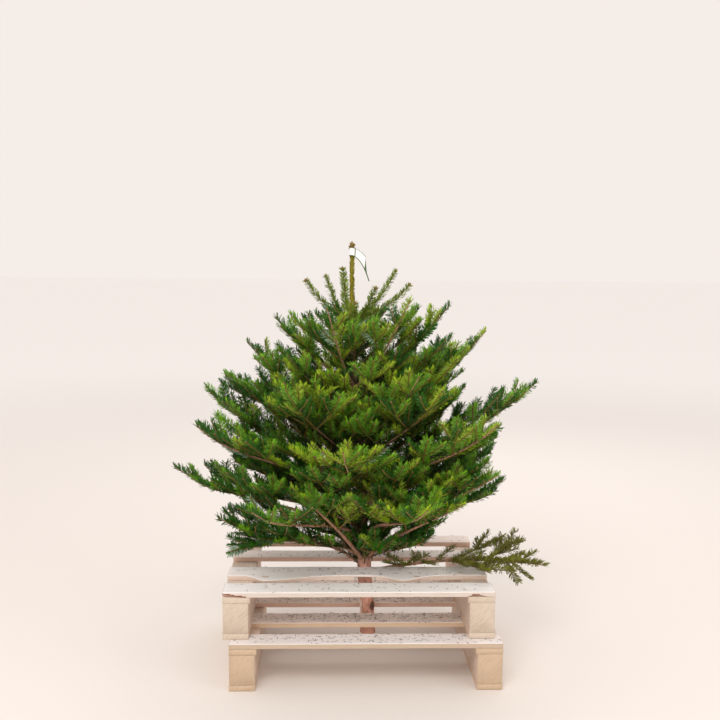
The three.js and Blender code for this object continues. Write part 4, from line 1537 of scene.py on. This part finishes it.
class FIR_OT_fallen(Operator):
    """Strew dry needles over the boards, most of them near the trunk."""

    bl_idname = "fir.fallen"
    bl_label = "Fallen Needles"

    def execute(self, context):
        stand, needles = context.scene.fir_stand, context.scene.fir_needles
        mesh = self.tops()
        template = needle_template()
        finish = plain_finish("dry_needles", stand.fallen, linear(92, 84, 48), 60, 0.7)
        litter = grown("fallen_needles", litter_tree(), mesh, {
            "Seed": needles.seed, "Length": 0.015, "Width": 0.0017, "Needle": template,
            "Finish": finish})
        dress(litter, "foliage")
        bpy.data.objects.remove(template)
        return {"FINISHED"}

    @staticmethod
    def tops():
        """The boards' upper faces, each point with how many needles lie there."""
        points, polygons, rows = [], [], []
        steps = 24
        for level, shift in LEVELS.items():
            for front, back in BOARDS[level]:
                polygons += [(a, a + 3, a + 4, a + 1) for i in range(steps)
                             for a in (len(points) + i * 3, len(points) + i * 3 + 1)]
                for i in range(steps + 1):
                    for y in (front + 4, (front + back) / 2, back - 4):
                        p = np.array((6 + (LENGTH - 12) * i / steps, y, HEIGHT + 0.6)) + shift
                        away = math.hypot(p[0] - TRUNK_X - 40, p[1] - TRUNK_Y)
                        share = 0.3 + math.exp(-((away / 250) ** 2))
                        points.append(p)
                        rows.append({"litter": LITTER[level] * share})
        return with_facts(mesh_of("board_tops", points, polygons), rows)


class FIR_OT_stage(Operator):
    """Lay the floor, painted darker near the stand, then light it softly and place the camera."""

    bl_idname = "fir.stage"
    bl_label = "Floor, Light and Camera"

    def execute(self, context):
        stage = context.scene.fir_stage
        size = 60.0
        mesh = bpy.data.meshes.new("floor")
        mesh.from_pydata([(-size, -size, 0), (size, -size, 0), (size, size, 0), (-size, size, 0)],
                         [], [(0, 1, 2, 3)])
        look = Finish("floor")
        away = look.vector("LENGTH", look.place, output="Value")
        # Painted light: the floor is darker near the stand, where the lamps light it most, and
        # paler far off, where they light it least.
        colour = look.mix(look.ramp(away, 1.2, 9), stage.floor, linear(253, 252, 251))
        mesh.materials.append(look.surface(colour, 0.9))
        shown("floor", mesh)
        for name, place, width, share, tint in (
                ("key", (-1.0, -3.2, 3.1), 1.6, 1.0, (1.0, 0.97, 0.93)),
                ("fill", (2.8, -2.4, 2.2), 2.4, 0.3, (1.0, 0.97, 0.95)),
                ("back", (0.8, 3.0, 3.0), 2.4, 0.4, (1.0, 0.98, 0.95))):
            self.area(name, place, width, stage.key_power * share, tint)
        world = bpy.data.worlds.new("sky")
        world.use_nodes = True
        backdrop = world.node_tree.nodes["Background"]
        backdrop.inputs["Color"].default_value = (*linear(241, 233, 228), 1)
        backdrop.inputs["Strength"].default_value = stage.sky
        context.scene.world = world
        context.scene.view_settings.view_transform = "Standard"
        self.camera(context.scene)
        return {"FINISHED"}

    @staticmethod
    def area(name, place, size, power, colour):
        """A soft lamp that faces the middle of the tree."""
        light = bpy.data.lights.new(name, "AREA")
        light.size = size
        light.energy = power
        light.color = colour
        lamp = shown(name, light)
        lamp.location = place
        facing = Vector((0, 0, 0.6)) - Vector(place)
        lamp.rotation_euler = facing.to_track_quat("-Z", "Y").to_euler()

    @staticmethod
    def camera(scene):
        """The view from which the tree was first seen: a little left of it, at head height."""
        yaw, pitch, roll = 0.0349, 0.0997, 0.0089
        right = np.array((math.cos(yaw), -math.sin(yaw), 0))
        ahead = np.array((math.sin(yaw), math.cos(yaw), 0))
        forward = turned(ahead, UP, -pitch)
        above = turned(UP, ahead, pitch)
        x = turned(right, above, roll)
        y = turned(above, right, -roll)
        place = in_metres(EYE)
        view = bpy.data.cameras.new("camera")
        view.sensor_width = 36.0
        view.lens = 49.8
        camera = shown("camera", view)
        camera.matrix_world = Matrix([(x[i], y[i], -forward[i], place[i]) for i in range(3)]
                                     + [(0, 0, 0, 1)])
        scene.camera = camera


OPERATORS = (FIR_OT_boards, FIR_OT_runners, FIR_OT_trunk, FIR_OT_boughs, FIR_OT_twigs,
             FIR_OT_needles, FIR_OT_buds, FIR_OT_label, FIR_OT_fallen, FIR_OT_stage)
GROUPS = {"fir_stand": FirStandSettings, "fir_trunk": FirTrunkSettings,
          "fir_needles": FirNeedleSettings, "fir_label": FirLabelSettings,
          "fir_stage": FirStageSettings}


class FIR_PT_sidebar(Panel):
    """The tree's pieces and their settings."""

    bl_idname = "FIR_PT_sidebar"
    bl_label = "Fir in a Stand"
    bl_space_type = "VIEW_3D"
    bl_region_type = "UI"
    bl_category = "Fir"

    def draw(self, context):
        for operator in OPERATORS:
            self.layout.operator(operator.bl_idname)
        for group in GROUPS:
            box = self.layout.box()
            for key in getattr(context.scene, group).bl_rna.properties.keys():
                if key not in ("rna_type", "name"):
                    box.prop(getattr(context.scene, group), key)


def register():
    for cls in (*GROUPS.values(), *OPERATORS, FIR_PT_sidebar):
        bpy.utils.register_class(cls)
    for name, group in GROUPS.items():
        setattr(bpy.types.Scene, name, PointerProperty(type=group))


def unregister():
    for name in GROUPS:
        delattr(bpy.types.Scene, name)
    for cls in (FIR_PT_sidebar, *reversed(OPERATORS), *GROUPS.values()):
        bpy.utils.unregister_class(cls)


def main():
    register()
    for piece in ("boards", "runners", "trunk", "boughs", "twigs", "needles", "buds", "label",
                  "fallen", "stage"):
        getattr(bpy.ops.fir, piece)()


if __name__ == "__main__":
    main()
